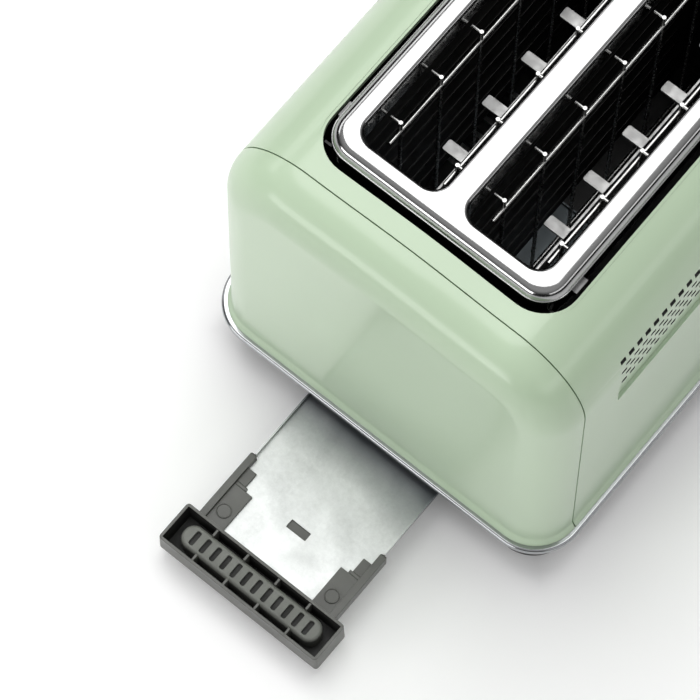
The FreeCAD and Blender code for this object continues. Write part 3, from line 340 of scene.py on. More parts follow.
def finish_piece(piece, names, body, nodes=(), angle=32.0):
    """Shade a finished piece, give it its finish and hang it on its body."""
    make_active(piece)
    bpy.ops.object.shade_smooth_by_angle(angle=math.radians(angle))
    apply_modifier(piece, "WEIGHTED_NORMAL", keep_sharp=True, weight=100)
    if names:
        paint(piece, *names.split())
    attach(piece, body)
    if nodes:
        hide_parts(*nodes)
    return piece


def rounded_block(name, low, high, corner, segments=8):
    """Block with rounded upright edges, left in edit mode."""
    piece = start_block(name, low, high)
    pick(piece, "EDGE", lambda e: runs(e, "z"))
    bevel(corner, segments)
    return piece


# ---------------------------------------------------------------- material helpers
class Finish:
    """A node material with the few building blocks that the finishes share."""

    def __init__(self, name, **inputs):
        self.material = bpy.data.materials.new(name)
        self.material.use_nodes = True
        self.tree = self.material.node_tree
        self.shader = self.tree.nodes["Principled BSDF"]
        for key, value in inputs.items():
            self.shader.inputs[key.replace("_", " ")].default_value = value
        self.coords = self.tree.nodes.new("ShaderNodeTexCoord").outputs["Object"]
        self.heights = []

    def node(self, kind, **inputs):
        """Add a node and set its inputs."""
        made = self.tree.nodes.new(kind)
        for key, value in inputs.items():
            made.inputs[key].default_value = value
        return made

    def stretched(self, scale):
        """Object coordinates scaled differently along each axis."""
        mapping = self.node("ShaderNodeMapping", Scale=scale)
        self.tree.links.new(self.coords, mapping.inputs["Vector"])
        return mapping.outputs["Vector"]

    def noise(self, scale, detail=3.0, roughness=0.5, stretch=None):
        """Noise pattern on object coordinates."""
        made = self.node("ShaderNodeTexNoise", Scale=scale, Detail=detail, Roughness=roughness)
        source = self.coords if stretch is None else self.stretched(stretch)
        self.tree.links.new(source, made.inputs["Vector"])
        return made.outputs["Fac"]

    def ramp(self, source, stops):
        """Colour ramp over a value; stops are (position, colour) pairs."""
        made = self.tree.nodes.new("ShaderNodeValToRGB")
        elements = made.color_ramp.elements
        while len(elements) < len(stops):
            elements.new(0.5)
        for element, (position, colour) in zip(elements, stops):
            element.position = position
            element.color = (*colour, 1.0) if len(colour) == 3 else colour
        self.tree.links.new(source, made.inputs["Fac"])
        return made.outputs["Color"]

    def remap(self, source, low, high, start=0.3, end=0.7):
        """Spread a pattern's middle range over low to high."""
        made = self.node("ShaderNodeMapRange", **{"From Min": start, "From Max": end,
                                                  "To Min": low, "To Max": high})
        self.tree.links.new(source, made.inputs["Value"])
        return made.outputs["Result"]

    def math(self, operation, first, second=None):
        """Math node on sockets or numbers."""
        made = self.tree.nodes.new("ShaderNodeMath")
        made.operation = operation
        for index, value in enumerate((first, second)):
            if isinstance(value, bpy.types.NodeSocket):
                self.tree.links.new(value, made.inputs[index])
            elif value is not None:
                made.inputs[index].default_value = value
        return made.outputs["Value"]

    def blend(self, factor, first, second):
        """Mix two colours by a factor; a colour may be a socket or a tuple."""
        made = self.tree.nodes.new("ShaderNodeMix")
        made.data_type = "RGBA"
        for index, value in ((0, factor), (6, first), (7, second)):
            if isinstance(value, bpy.types.NodeSocket):
                self.tree.links.new(value, made.inputs[index])
            else:
                made.inputs[index].default_value = value if index == 0 else (*value[:3], 1.0)
        return made.outputs[2]

    def mottled(self, pattern, colour, dark, light):
        """Colour that wanders between a darker and a lighter version of itself."""
        return self.blend(self.remap(pattern, 0.0, 1.0), shade(colour, dark), shade(colour, light))

    def axes(self):
        """Object coordinates split into X, Y and Z."""
        split = self.tree.nodes.new("ShaderNodeSeparateXYZ")
        self.tree.links.new(self.coords, split.inputs["Vector"])
        return split.outputs

    def drive(self, name, source):
        """Link a pattern to an input of the shader."""
        self.tree.links.new(source, self.shader.inputs[name])

    def bump(self, source, strength, distance):
        """Add a relief to the surface, on top of those before it."""
        made = self.node("ShaderNodeBump", Strength=strength, Distance=distance * MM)
        self.tree.links.new(source, made.inputs["Height"])
        if self.heights:
            self.tree.links.new(self.heights[-1], made.inputs["Normal"])
        self.heights.append(made.outputs["Normal"])
        self.tree.links.new(made.outputs["Normal"], self.shader.inputs["Normal"])


def shade(colour, factor):
    """Lighter or darker version of a colour."""
    return tuple(min(1.0, c * factor) for c in colour[:3])


def enamel_finish(colours):
    """Satin mint enamel with a faint orange peel."""
    base = tuple(colours.enamel)
    finish = Finish("mint_enamel", Coat_Weight=0.3, Coat_Roughness=0.10, Specular_IOR_Level=0.4)
    finish.drive("Base Color", finish.mottled(finish.noise(9.0, detail=2.0), base, 0.965, 1.03))
    finish.drive("Roughness", finish.remap(finish.noise(16.0, detail=0.5), 0.30, 0.34))
    return finish.material


def polished_finish(name, colour, roughness, streak=(6.0, 260.0, 6.0), depth=0.03):
    """Polished steel with fine drawn streaks and faint haze."""
    finish = Finish(name, Metallic=1.0, Anisotropic=0.25)
    finish.drive("Base Color", finish.mottled(finish.noise(14.0, detail=3.0), colour, 0.94, 1.05))
    lines = finish.noise(5.0, detail=6.0, roughness=0.7, stretch=streak)
    finish.drive("Roughness", finish.remap(lines, roughness * 0.75, roughness * 1.3))
    finish.bump(lines, depth, 0.05)
    return finish.material


# Dark blue-grey painted on the tray where it runs inside the casing: painted shade and reflection.
PAINTED_SHADE_TINT = (0.125, 0.142, 0.150)


def zinc_finish(colours):
    """Galvanised sheet: fine speckle and rolling streaks, darkened by painted shade and reflection where it
    lies inside.
    """
    base = tuple(colours.zinc)
    finish = Finish("galvanised_sheet", Metallic=0.85)
    speckle = finish.noise(520.0, detail=3.0, roughness=0.7)
    streaks = finish.noise(4.0, detail=3.0, stretch=(26.0, 2.0, 20.0))
    plain = finish.mottled(speckle, base, 0.90, 1.06)
    tone = finish.blend(finish.remap(streaks, 0.0, 0.35), plain, shade(base, 1.05))
    wave = finish.remap(finish.noise(30.0, detail=2.0), -0.004, 0.004)
    along = finish.math("ADD", finish.axes()["Y"], wave)
    # Painted shade and reflection: the tray darkens from just outside the ring inwards, along a wavy line.
    painted_shade = finish.remap(along, 1.0, 0.0, start=RING_HIGH.y * MM - 0.004, end=RING_HIGH.y * MM + 0.021)
    finish.drive("Base Color", finish.blend(painted_shade, tone, PAINTED_SHADE_TINT))
    finish.drive("Roughness", finish.remap(finish.noise(90.0, detail=5.0), 0.42, 0.52))
    finish.bump(speckle, 0.05, 0.05)
    return finish.material


def plastic_finish(name, colour, roughness=0.42, grain=900.0):
    """Moulded plastic with a fine spark-eroded grain and slightly paler worn high spots."""
    finish = Finish(name, Specular_IOR_Level=0.45)
    finish.drive("Base Color", finish.mottled(finish.noise(38.0, detail=4.0), colour, 0.88, 1.14))
    finish.drive("Roughness", finish.remap(finish.noise(120.0), roughness * 0.88, roughness * 1.15))
    finish.bump(finish.noise(grain, detail=2.0), 0.22, 0.09)
    return finish.material


def metal_finish(name, colour, roughness, metallic=1.0, scale=70.0):
    """Plain sheet metal or wire with uneven tone."""
    finish = Finish(name, Metallic=metallic)
    finish.drive("Base Color", finish.mottled(finish.noise(scale, detail=5.0), colour, 0.78, 1.15))
    finish.drive("Roughness", finish.remap(finish.noise(scale * 2.3), roughness * 0.8, roughness * 1.25))
    finish.bump(finish.noise(scale * 6.0), 0.08, 0.06)
    return finish.material


def mica_finish():
    """Mica sheet: dark, flaky, with a faint silky layer pattern along its length."""
    finish = Finish("mica_sheet", Specular_IOR_Level=0.35)
    flakes = finish.noise(22.0, detail=8.0, roughness=0.7, stretch=(1.0, 0.35, 2.2))
    finish.drive("Base Color", finish.ramp(flakes, [(0.30, (0.006, 0.006, 0.006)),
                                                    (0.62, (0.022, 0.021, 0.020)),
                                                    (0.80, (0.060, 0.058, 0.055))]))
    finish.drive("Roughness", finish.remap(flakes, 0.62, 0.38))
    finish.bump(flakes, 0.25, 0.20)
    return finish.material


def board_finish():
    """Green-brown circuit board with a woven glass pattern under the lacquer."""
    finish = Finish("circuit_board", Coat_Weight=0.3)
    weave = finish.noise(3.0, detail=2.0, stretch=(420.0, 60.0, 420.0))
    finish.drive("Base Color", finish.ramp(weave, [(0.3, (0.010, 0.055, 0.020)),
                                                   (0.7, (0.022, 0.090, 0.034))]))
    finish.drive("Roughness", finish.remap(finish.noise(50.0), 0.35, 0.5))
    return finish.material


def rubber_finish():
    """Matt black rubber, slightly dusty."""
    finish = Finish("foot_rubber", Specular_IOR_Level=0.3)
    dust = finish.noise(110.0, detail=6.0, roughness=0.65)
    finish.drive("Base Color", finish.ramp(dust, [(0.42, (0.012, 0.012, 0.012)),
                                                  (0.75, (0.045, 0.044, 0.042))]))
    finish.drive("Roughness", finish.remap(dust, 0.72, 0.9))
    finish.bump(finish.noise(700.0), 0.25, 0.08)
    return finish.material


# Name, colour and roughness, then metal share and pattern scale where they differ.
METALS = {
    "chassis": ("chassis_steel", (0.045, 0.045, 0.045), 0.5),
    "reflector": ("reflector_steel", (0.10, 0.10, 0.10), 0.42),
    "carriage": ("carriage_steel", (0.34, 0.34, 0.335), 0.42, 0.8, 120.0),
    "wire": ("guard_wire", (0.46, 0.46, 0.45), 0.26, 1.0, 200.0),
    "ribbon": ("heating_ribbon", (0.075, 0.072, 0.070), 0.4, 1.0, 90.0),
    "clip": ("clip_steel", (0.13, 0.13, 0.13), 0.4),
    "brass": ("bushing_brass", (0.58, 0.42, 0.18), 0.3),
    "magnet": ("magnet_core", (0.16, 0.10, 0.06), 0.5, 0.5),
    "spring": ("spring_steel", (0.35, 0.35, 0.36), 0.3),
    "screw": ("screw_steel", (0.50, 0.50, 0.48), 0.33),
    "painted_shade_lining": ("painted_shade_inside", (0.030, 0.030, 0.030), 0.6, 0.3),
# Near-black inner faces of the shell and caps and walls of the vent slots: painted shade inside the casing.
}
PLASTICS = {
    # Near-black plastic for the inside of the handle and the floors of the grip slots: painted shade in those
    # recesses.
    "painted_shade_pocket": ("painted_shade_plastic", (0.012, 0.012, 0.011), 0.6),
    "base": ("base_plastic", (0.020, 0.020, 0.020), 0.5),
    "control": ("control_plastic", (0.030, 0.029, 0.027), 0.32),
    "switch": ("switch_plastic", (0.045, 0.045, 0.047), 0.4),
}
_finishes = {}


def finish_named(name):
    """The material of one finish, made the first time it is asked for."""
    if name not in _finishes:
        colours = bpy.context.scene.toaster_colours
        makers = {
            "enamel": lambda: enamel_finish(colours),
            "steel": lambda: polished_finish("polished_steel", tuple(colours.steel), 0.14),
            "chrome": lambda: polished_finish("bright_chrome", (0.38, 0.39, 0.40), 0.12,
                                              streak=(8.0, 8.0, 300.0), depth=0.01),
            "zinc": lambda: zinc_finish(colours),
            "handle": lambda: plastic_finish("handle_plastic", tuple(colours.plastic), 0.36),
            "grip": lambda: plastic_finish("grip_plastic", tuple(colours.grip), 0.5, grain=1300.0),
            "gland": rubber_finish,
            "rubber": rubber_finish,
            "mica": mica_finish,
            "board": board_finish,
        }
        if name in METALS:
            _finishes[name] = metal_finish(*METALS[name])
        elif name in PLASTICS:
            _finishes[name] = plastic_finish(*PLASTICS[name])
        else:
            _finishes[name] = makers[name]()
    return _finishes[name]


def dress(node, finish):
    """Give a frame node that stays as it is its material."""
    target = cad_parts[node]
    target.data.materials.clear()
    target.data.materials.append(finish_named(finish))


# ---------------------------------------------------------------- stage
# Lights in metres: name, place, target, size and share of the key or strip power.
LIGHTS = (
    ("overhead", (0.37, -0.30, 1.60), (0.0, 0.10, 0.15), (1.25, 1.25), 1.0),
    ("rear_strip", (0.35, 1.60, 0.56), (0.0, 0.10, 0.17), (1.5, 0.45), 1.0),
    ("side_strip", (-1.30, 0.10, 0.70), (0.0, 0.10, 0.12), (1.6, 0.25), 0.25),
    ("far_strip", (1.35, -0.30, 0.95), (0.0, 0.0, 0.18), (1.6, 0.30), 0.4),
)
CAMERA_AZIMUTH, CAMERA_ELEVATION = 219.39, 69.60      # degrees
CAMERA_DISTANCE = 1.4484
CAMERA_TARGET = Vector((0.00998, 0.14221, 0.11156))
FLOOR_GLOW = 0.14
GLOW_FROM, GLOW_TO = -0.012, 0.004                    # metres past the ring


class TOASTER_OT_stage(bpy.types.Operator):
    """Build the pale floor, the soft lights and the camera"""

    bl_idname = "toaster.stage"
    bl_label = "Stage"

    def execute(self, context):
        """Make floor, lights, surroundings and camera."""
        stage = context.scene.toaster_stage
        to_object_mode()
        bpy.ops.mesh.primitive_plane_add(size=6.0, location=(0, 0, 0))
        floor = context.object
        floor.name = "floor"
        cover = Finish("pale_floor", Roughness=0.9, Specular_IOR_Level=0.0)
        cover.drive("Base Color", cover.ramp(cover.noise(3.0), [(0.3, (0.90, 0.90, 0.90)),
                                                                (0.7, (0.92, 0.92, 0.92))]))
        cover.shader.inputs["Emission Color"].default_value = (1.0, 1.0, 1.0, 1.0)
        cover.drive("Emission Strength", self.outside_footprint(cover))
        floor.data.materials.append(cover.material)
        self.surroundings(context, stage.sky)
        for name, place, target, size, share in LIGHTS:
            power = stage.key_power if name == "overhead" else stage.strip_power * share
            self.soft_light(name, place, target, size, power)
        self.camera(context, stage.lens)
        return {"FINISHED"}

    @staticmethod
    def outside_footprint(cover):
        """Glow of the floor: none under the toaster, fading in just outside its ring."""
        place = cover.axes()
        distances = []
        for axis, half in (("X", RING_HIGH.x), ("Y", RING_HIGH.y)):
            size = cover.math("ABSOLUTE", place[axis])
            distances.append(cover.math("SUBTRACT", size, half * MM))
        return cover.remap(cover.math("MAXIMUM", *distances), 0.0, FLOOR_GLOW, start=GLOW_FROM,
                           end=GLOW_TO)

    @staticmethod
    def surroundings(context, brightness):
        """Plain studio, pale overhead and darker towards the floor."""
        world = bpy.data.worlds.new("studio")
        world.use_nodes = True
        context.scene.world = world
        tree = world.node_tree
        back = tree.nodes["Background"]
        back.inputs["Strength"].default_value = brightness
        coords = tree.nodes.new("ShaderNodeTexCoord")
        split = tree.nodes.new("ShaderNodeSeparateXYZ")
        ramp = tree.nodes.new("ShaderNodeValToRGB")
        ramp.color_ramp.elements[0].position = 0.35
        ramp.color_ramp.elements[0].color = (0.06, 0.06, 0.06, 1.0)
        ramp.color_ramp.elements[1].position = 0.80
        ramp.color_ramp.elements[1].color = (1.0, 1.0, 1.0, 1.0)
        tree.links.new(coords.outputs["Generated"], split.inputs["Vector"])
        tree.links.new(split.outputs["Z"], ramp.inputs["Fac"])
        tree.links.new(ramp.outputs["Color"], back.inputs["Color"])

    @staticmethod
    def soft_light(name, place, target, size, power):
        """Rectangular area light aimed at a point."""
        bpy.ops.object.light_add(type="AREA", location=place)
        light = bpy.context.object
        light.name = name + "_light"
        light.data.energy = power
        light.data.shape = "RECTANGLE"
        light.data.size, light.data.size_y = size
        aim = Vector(target) - Vector(place)
        light.rotation_euler = aim.to_track_quat("-Z", "Y").to_euler()

    @staticmethod
    def camera(context, lens):
        """Camera high behind the left rear corner."""
        azimuth, elevation = math.radians(CAMERA_AZIMUTH), math.radians(CAMERA_ELEVATION)
        back = Vector((math.sin(azimuth) * math.cos(elevation), -math.cos(azimuth) * math.cos(elevation),
                       math.sin(elevation)))
        data = bpy.data.cameras.new("camera")
        data.lens = lens
        data.sensor_width = 36.0
        data.clip_start = 0.05
        camera = bpy.data.objects.new("camera", data)
        context.collection.objects.link(camera)
        camera.location = CAMERA_TARGET + back * CAMERA_DISTANCE
        camera.rotation_euler = (-back).to_track_quat("-Z", "Y").to_euler()
        context.scene.camera = camera
        context.scene.view_settings.view_transform = "Standard"


# ---------------------------------------------------------------- casing
SHOULDER_SEGMENTS, CAP_SEGMENTS = 22, 12
CROWN_CUTS = 5                       # cuts on each side of the middle that carry the crown
LIP_PROFILE = ((5.0, 0.0), (3.4, 0.14), (2.0, 0.42), (0.9, 0.78), (0.0, 1.0))   # height, share of flare
VENT_PITCH, VENT_ROW_STEP, VENT_SLANT = 4.95, 5.85, 3.05
VENT_HALF_LENGTH, VENT_HALF_HEIGHT, VENT_MARGIN = 1.5, 1.2, 2.4
VENT_FIRST_ROW, VENT_START = TOP_Z - 49.4, SLOT_REAR - 4.9
PANEL_X, PANEL_LOW, PANEL_HIGH, PANEL_CORNER = 81.6, TOP_Z - 60.0, TOP_Z - 19.0, 1.2
OPENING_CORNER, OPENING_DEPTH = 15.6, 6.0
BUTTONS = ("cancel_button", "defrost_button", "reheat_button")
BUTTON_HOLE, SHAFT_HOLE = 5.5, 3.35
LEVER_SLOT_HALF = 2.6
TRIM_BAND, TRIM_BAND_LOW = 2.6, 1.3


def casing_block(name):
    """Closed pillow with the outline of the whole casing, left in edit mode."""
    spring_z = TOP_Z - CROWN
    piece = start_block(name, (-BODY_HALF, -CAP_Y, FOOT_Z), (BODY_HALF, CAP_Y, spring_z))
    pick(piece, "VERT", lambda v: lies(v, z=FOOT_Z))
    bpy.ops.transform.resize(value=(FOOT_HALF / BODY_HALF, 1.0, 1.0))
    round_edges(piece, lambda e: runs(e, "y") and lies(e, z=spring_z), SHOULDER, SHOULDER_SEGMENTS)
    flat_half = BODY_HALF - SHOULDER
    stations = [flat_half * i / CROWN_CUTS for i in range(1 - CROWN_CUTS, CROWN_CUTS)]
    for x in stations:
        cut_plane((x, 0, 0), (1, 0, 0))
    for x in stations:
        rise = CROWN * math.cos(math.pi * x / flat_half / 2) ** 2
        pick(piece, "VERT", lambda v: lies(v, x=x, z=spring_z))
        move(z=rise)
    pick(piece, "EDGE", lambda e: (lies(e, y=CAP_Y) or lies(e, y=-CAP_Y)) and not lies(e, z=FOOT_Z)
         and len(e.link_faces) == 2 and e.calc_face_angle(0.0) > 0.5)
    bevel(CAP_ROUND, CAP_SEGMENTS)
    return piece


def flare_foot(piece, flare):
    """Turn the open foot of a skin outwards into a small lip."""
    for height, share in LIP_PROFILE:
        if height:
            cut_plane((0, 0, FOOT_Z + height), (0, 0, 1))
        if share:
            pick(piece, "VERT", lambda v: lies(v, z=FOOT_Z + height))
            bpy.ops.transform.shrink_fatten(value=flare * share)


def vent_cutter(rows):
    """Bars that cut the slanted columns of small slots through both sides of the shell."""
    bars = []
    for row in range(rows):
        first = VENT_START + row * VENT_SLANT
        while first > SLOT_REAR - VENT_MARGIN:
            first -= VENT_PITCH
        while first + VENT_PITCH < SLOT_REAR - VENT_MARGIN:
            first += VENT_PITCH
        count = int((first - SLOT_FRONT - VENT_MARGIN) / VENT_PITCH) + 1
        z = VENT_FIRST_ROW + row * VENT_ROW_STEP
        bar = start_block("vent_bar", (-RING_HIGH.x, first - VENT_HALF_LENGTH, z - VENT_HALF_HEIGHT),
                          (RING_HIGH.x, first + VENT_HALF_LENGTH, z + VENT_HALF_HEIGHT))
        round_edges(bar, lambda e: runs(e, "x"), 0.35, 2)
        apply_modifier(bar, "ARRAY", count=count, use_relative_offset=False, use_constant_offset=True,
                       constant_offset_displace=(0.0, -VENT_PITCH * MM, 0.0))
        bars.append(bar)
    add_to(bars[0], bars[1:])
    # The slot walls take the near-black finish: painted shade that keeps the vents dark.
    paint(bars[0], "painted_shade_lining")
    return bars[0]


class TOASTER_OT_shell(bpy.types.Operator):
    """Model the painted wrap-around shell with its opening, pressed vent panels and slots"""

    bl_idname = "toaster.shell"
    bl_label = "Wrap-around shell"

    def execute(self, context):
        """Press the skin, open it, thicken it and pierce the vents."""
        sizes = context.scene.toaster_sizes
        end = SHELL_HIGH.y
        piece = casing_block("painted_shell")
        cut_plane((0, end, 0), (0, 1, 0), clear_outer=True, fill=True)
        cut_plane((0, -end, 0), (0, -1, 0), clear_outer=True, fill=True)
        opening_x = PLATE_HIGH.x + GAP
        floor_z = TOP_Z - OPENING_DEPTH
        cutter = rounded_block("opening_cutter", (-opening_x, PLATE_LOW.y - GAP, floor_z),
                               (opening_x, PLATE_HIGH.y + GAP, TOP_Z + 9.0), OPENING_CORNER, 10)
        subtract(piece, cutter)
        for side in (-1, 1):
            cutter = side_block("panel_cutter", side, (PANEL_X, PANEL_X + 12.0), (SLOT_FRONT, SLOT_REAR),
                                (PANEL_LOW, PANEL_HIGH))
            round_edges(cutter, lambda e: runs(e, "x"), PANEL_CORNER, 3)
            subtract(piece, cutter)
        edit(piece)
        tidy_mesh()
        delete_faces(piece, lambda f: lies(f, z=FOOT_Z) or lies(f, z=floor_z) or lies(f, y=end)
                     or lies(f, y=-end))
        flare_foot(piece, sizes.lip_flare)
        soften(piece, 0.8, 3, 50.0)
        # Inner faces take the near-black finish: painted shade inside the shell.
        paint(piece, "enamel", "painted_shade_lining")
        thicken(piece, sizes.shell_wall, 1)
        subtract(piece, vent_cutter(sizes.vent_rows), "TRANSFER")
        finish_piece(piece, "", "chassis", ["main_shell"])
        return {"FINISHED"}


def end_cap(name, wall, flare):
    """Pillow-shaped end cap at the rear, open to the shell and the base."""
    piece = casing_block(name)
    cut_plane((0, SEAM_Y, 0), (0, -1, 0), clear_outer=True)
    delete_faces(piece, lambda f: lies(f, z=FOOT_Z))
    flare_foot(piece, flare)
    # Inner faces take the near-black finish: painted shade inside the cap.
    paint(piece, "enamel", "painted_shade_lining")
    thicken(piece, wall, 1)
    soften(piece, 0.25, 1, 60.0)
    return piece


class TOASTER_OT_caps(bpy.types.Operator):
    """Model the two painted end caps, the front one pierced for the controls"""

    bl_idname = "toaster.caps"
    bl_label = "End caps"

    def execute(self, context):
        """Make the rear cap, mirror it for the front and pierce that one."""
        sizes = context.scene.toaster_sizes
        rear = end_cap("rear_cap", sizes.cap_wall, sizes.lip_flare)
        front = copy_piece(rear, "front_cap")
        make_active(front)
        front.scale = (1.0, -1.0, 1.0)
        bake_place(front)
        bpy.ops.object.mode_set(mode="EDIT")
        bpy.ops.mesh.select_all(action="SELECT")
        bpy.ops.mesh.normals_make_consistent(inside=False)
        low, high = frame_box("lever_slot_trim")
        start_y = -CAP_Y - 8.0
        slot = rounded_block("slot_cutter", (-LEVER_SLOT_HALF, start_y, low.z + TRIM_BAND_LOW),
                             (LEVER_SLOT_HALF, start_y + 16.0, high.z - TRIM_BAND), 0.5, 2)
        subtract(front, slot)
        for node in BUTTONS:
            low, high = frame_box(node)
            centre = (low + high) / 2
            subtract(front, start_round("button_cutter", BUTTON_HOLE, (centre.x, start_y, centre.z),
                                        16.0, "Y"))
        low, high = frame_box("knob_shaft")
        centre = (low + high) / 2
        subtract(front, start_round("shaft_cutter", SHAFT_HOLE, (centre.x, start_y, centre.z), 16.0, "Y"))
        finish_piece(rear, "", "chassis", ["rear_end_cap"])
        finish_piece(front, "", "chassis", ["front_end_cap"])
        return {"FINISHED"}


# ---------------------------------------------------------------- top plate
# Inset and rise of each step from the lip up to the flat.
PLATE_PROFILE = ((0.3, 0.9), (0.45, 1.0), (0.7, 0.95), (0.95, 0.75), (1.3, 0.5), (1.5, 0.2))
PLATE_CORNER, PLATE_LIP, PLATE_LIP_DROP, PLATE_WALL = 12.5, 0.5, 4.3, 1.0
SLOT_CORNER, SLOT_ROLL = 7.0, 2.0
TAB_HALF, TAB_REACH, TAB_OVERLAP = 3.6, 1.9, 0.6


class TOASTER_OT_top_plate(bpy.types.Operator):
    """Model the polished plate: rolled slots, sloped shoulder and a thin outer lip"""

    bl_idname = "toaster.top_plate"
    bl_label = "Top plate"

    def execute(self, context):
        """Cut the slots, step the edge down to the lip and roll the rims."""
        piece = rounded_block("polished_plate", (PLATE_LOW.x, PLATE_LOW.y, PLATE_LOW.z),
                              (PLATE_HIGH.x, PLATE_HIGH.y, PLATE_HIGH.z - PLATE_LIP_DROP),
                              PLATE_CORNER, 10)
        top = PLATE_HIGH.z - PLATE_LIP_DROP
        pick(piece, "FACE", lambda f: lies(f, z=top))
        inset(PLATE_LIP)
        for width, rise in PLATE_PROFILE:
            inset(width)
            move(z=rise)
        for side in (-1, 1):
            cutter = rounded_block("slot_cutter", (side * SLOT_X - SLOT_HALF, SLOT_FRONT, PLATE_LOW.z - 5.0),
                                   (side * SLOT_X + SLOT_HALF, SLOT_REAR, PLATE_HIGH.z + 5.0), SLOT_CORNER, 8)
            subtract(piece, cutter)
        edit(piece)
        tidy_mesh()
        delete_faces(piece, lambda f: lies(f, z=PLATE_LOW.z))
        pick(piece, "EDGE", lambda e: lies(e, z=PLATE_HIGH.z) and len(e.link_faces) == 2
             and e.calc_face_angle(0.0) > 1.0)
        bevel(SLOT_ROLL, 6)
        pick(piece, "EDGE", lambda e: lies(e, z=top) and len(e.link_faces) == 2
             and e.calc_face_angle(0.0) > 1.0)
        bevel(0.2, 2)
        thicken(piece, PLATE_WALL * MM)
        tabs = []
        for side in (-1, 1):
            tab = side_block("clip_tab", side, (PLATE_HIGH.x - TAB_OVERLAP, PLATE_HIGH.x + TAB_REACH),
                             (TAB_Y - TAB_HALF, TAB_Y + TAB_HALF), (top - 4.4, top - 3.4))
            soften(tab, 0.3, 2, 50.0)
            paint(tab, "clip")
            tabs.append(tab)
        paint(piece, "steel")
        add_to(piece, tabs)
        finish_piece(piece, "", "chassis", ["top_plate"], angle=40.0)
        return {"FINISHED"}


# ---------------------------------------------------------------- base
RING_CORNER, RING_BAND, RING_ROUND = 21.5, 8.0, 1.3
FOOT_RADIUS, FOOT_RIM, FOOT_RECESS = 11.0, 7.2, 3.0


class TOASTER_OT_base(bpy.types.Operator):
    """Model the chrome ring and the rubber feet, and finish the base pan"""

    bl_idname = "toaster.base"
    bl_label = "Base"

    def execute(self, context):
        """Make the ring and the feet."""
        ring = rounded_block("chrome_ring", RING_LOW, RING_HIGH, RING_CORNER, 16)
        pick(ring, "FACE", lambda f: lies(f, z=RING_HIGH.z) or lies(f, z=RING_LOW.z))
        inset(RING_BAND)
        bpy.ops.mesh.delete(type="FACE")
        pick(ring, "EDGE", lambda e: e.is_boundary)
        bpy.ops.mesh.bridge_edge_loops()
        tidy_mesh()
        pick(ring, "EDGE", lambda e: (lies(e, z=RING_HIGH.z) or lies(e, z=RING_LOW.z))
             and e.calc_face_angle(0.0) > 1.2)
        bevel(RING_ROUND, 4)
        finish_piece(ring, "chrome", "chassis", ["base_trim_ring"])
        feet = []
        low, high = frame_box("rubber_feet")
        for sx in (-1, 1):
            for sy in (-1, 1):
                centre = (sx * (high.x - FOOT_RADIUS), sy * (high.y - FOOT_RADIUS), 0.0)
                foot = start_round("rubber_foot", FOOT_RADIUS, centre, high.z, "Z", 40)
                pick(foot, "FACE", lambda f: lies(f, z=0.0))
                inset(FOOT_RIM)
                extrude(z=FOOT_RECESS)
                round_edges(foot, lambda e: lies(e, z=0.0) and e.calc_face_angle(0.0) > 1.0, 0.6, 2)
                to_object_mode()
                feet.append(foot)
        add_to(feet[0], feet[1:])
        feet[0].name = "rubber_feet_set"
        finish_piece(feet[0], "rubber", "chassis", ["rubber_feet"])
        dress("base_pan", "base")
        dress("base_screws", "screw")
        dress("cord_gland", "gland")
        return {"FINISHED"}


# ---------------------------------------------------------------- crumb tray
HANDLE_DEPTH = 18.8
HANDLE_FRONT = HANDLE_HIGH.y - HANDLE_DEPTH
SHEET_THICK = 0.6
ARM_INNER, ARM_OUTER = 32.1, 35.2
ARM_BOTTOM, ARM_TOP, ARM_REACH = 10.5, 17.2, 33.0
NECK_REACH = 33.3                    # the sheet is narrower from here to the handle
WINDOW_REACH, WINDOW_HALF_X, WINDOW_HALF_Y = 19.9, 4.95, 2.0
HANDLE_WALL, HANDLE_FLOOR, HANDLE_CORNER = 1.3, 1.6, 1.5
RIB_PITCH, RIB_HALF = 16.0, 0.55
PAD_RISE, PAD_STEPS = 1.1, ((23.0, 18.7), (26.6, 20.2), (27.8, 27.2))    # inner x and reach
BOSS_X, BOSS_REACH, BOSS_RADIUS, BOSS_RISE = 28.0, 6.9, 3.2, 1.25
TONGUE_HALF, TONGUE_REACH = 9.0, 26.0
GRIP_PITCH, GRIP_SLOTS, GRIP_SLOT_HALF, GRIP_SLOT_REACH, GRIP_SLOT_DEPTH = 5.31, 12, 1.1, 3.3, 1.5


class TOASTER_OT_tray_sheet(bpy.types.Operator):
    """Model the galvanised sheet of the crumb tray with turned-up edges and a window"""

    bl_idname = "toaster.tray_sheet"
    bl_label = "Tray sheet"

    def execute(self, context):
        """Turn up the edges, narrow the neck between the arms and cut the window."""
        low, high = SHEET_LOW, SHEET_HIGH
        top = low.z + SHEET_THICK
        piece = start_block("tray_sheet", (low.x, low.y, low.z), (high.x, high.y, top))
        for side in (-1, 1):
            cut_plane((side * (high.x - SHEET_THICK), 0, 0), (1, 0, 0))
        cut_plane((0, low.y + SHEET_THICK, 0), (0, 1, 0))
        neck_y = HANDLE_FRONT - NECK_REACH
        cut_plane((0, neck_y, 0), (0, 1, 0))
        inner = high.x - SHEET_THICK - TOLERANCE
        pick(piece, "FACE", lambda f: lies(f, z=top) and (lies(f, y=(low.y - 1, low.y + 0.7))
             or (lies(f, x=(inner, high.x + 1)) or lies(f, x=(low.x - 1, -inner)))
             and lies(f, y=(low.y - 1, neck_y + 0.1))))
        extrude(z=high.z - top)
        for side in (-1, 1):
            subtract(piece, side_block("neck_cutter", side, (ARM_INNER - 0.3, ARM_OUTER + 3.0),
                                       (neck_y, HANDLE_FRONT + 3.0), (low.z - 3.0, top + 3.0)))
        window_y = HANDLE_FRONT - WINDOW_REACH
        subtract(piece, rounded_block("window_cutter",
                                      (-WINDOW_HALF_X, window_y - WINDOW_HALF_Y, low.z - 3.0),
                                      (WINDOW_HALF_X, window_y + WINDOW_HALF_Y, top + 3.0), 0.4, 2))
        soften(piece, 0.14, 2, 60.0)
        finish_piece(piece, "zinc", "crumb_tray", ["crumb_tray_plate"])
        return {"FINISHED"}


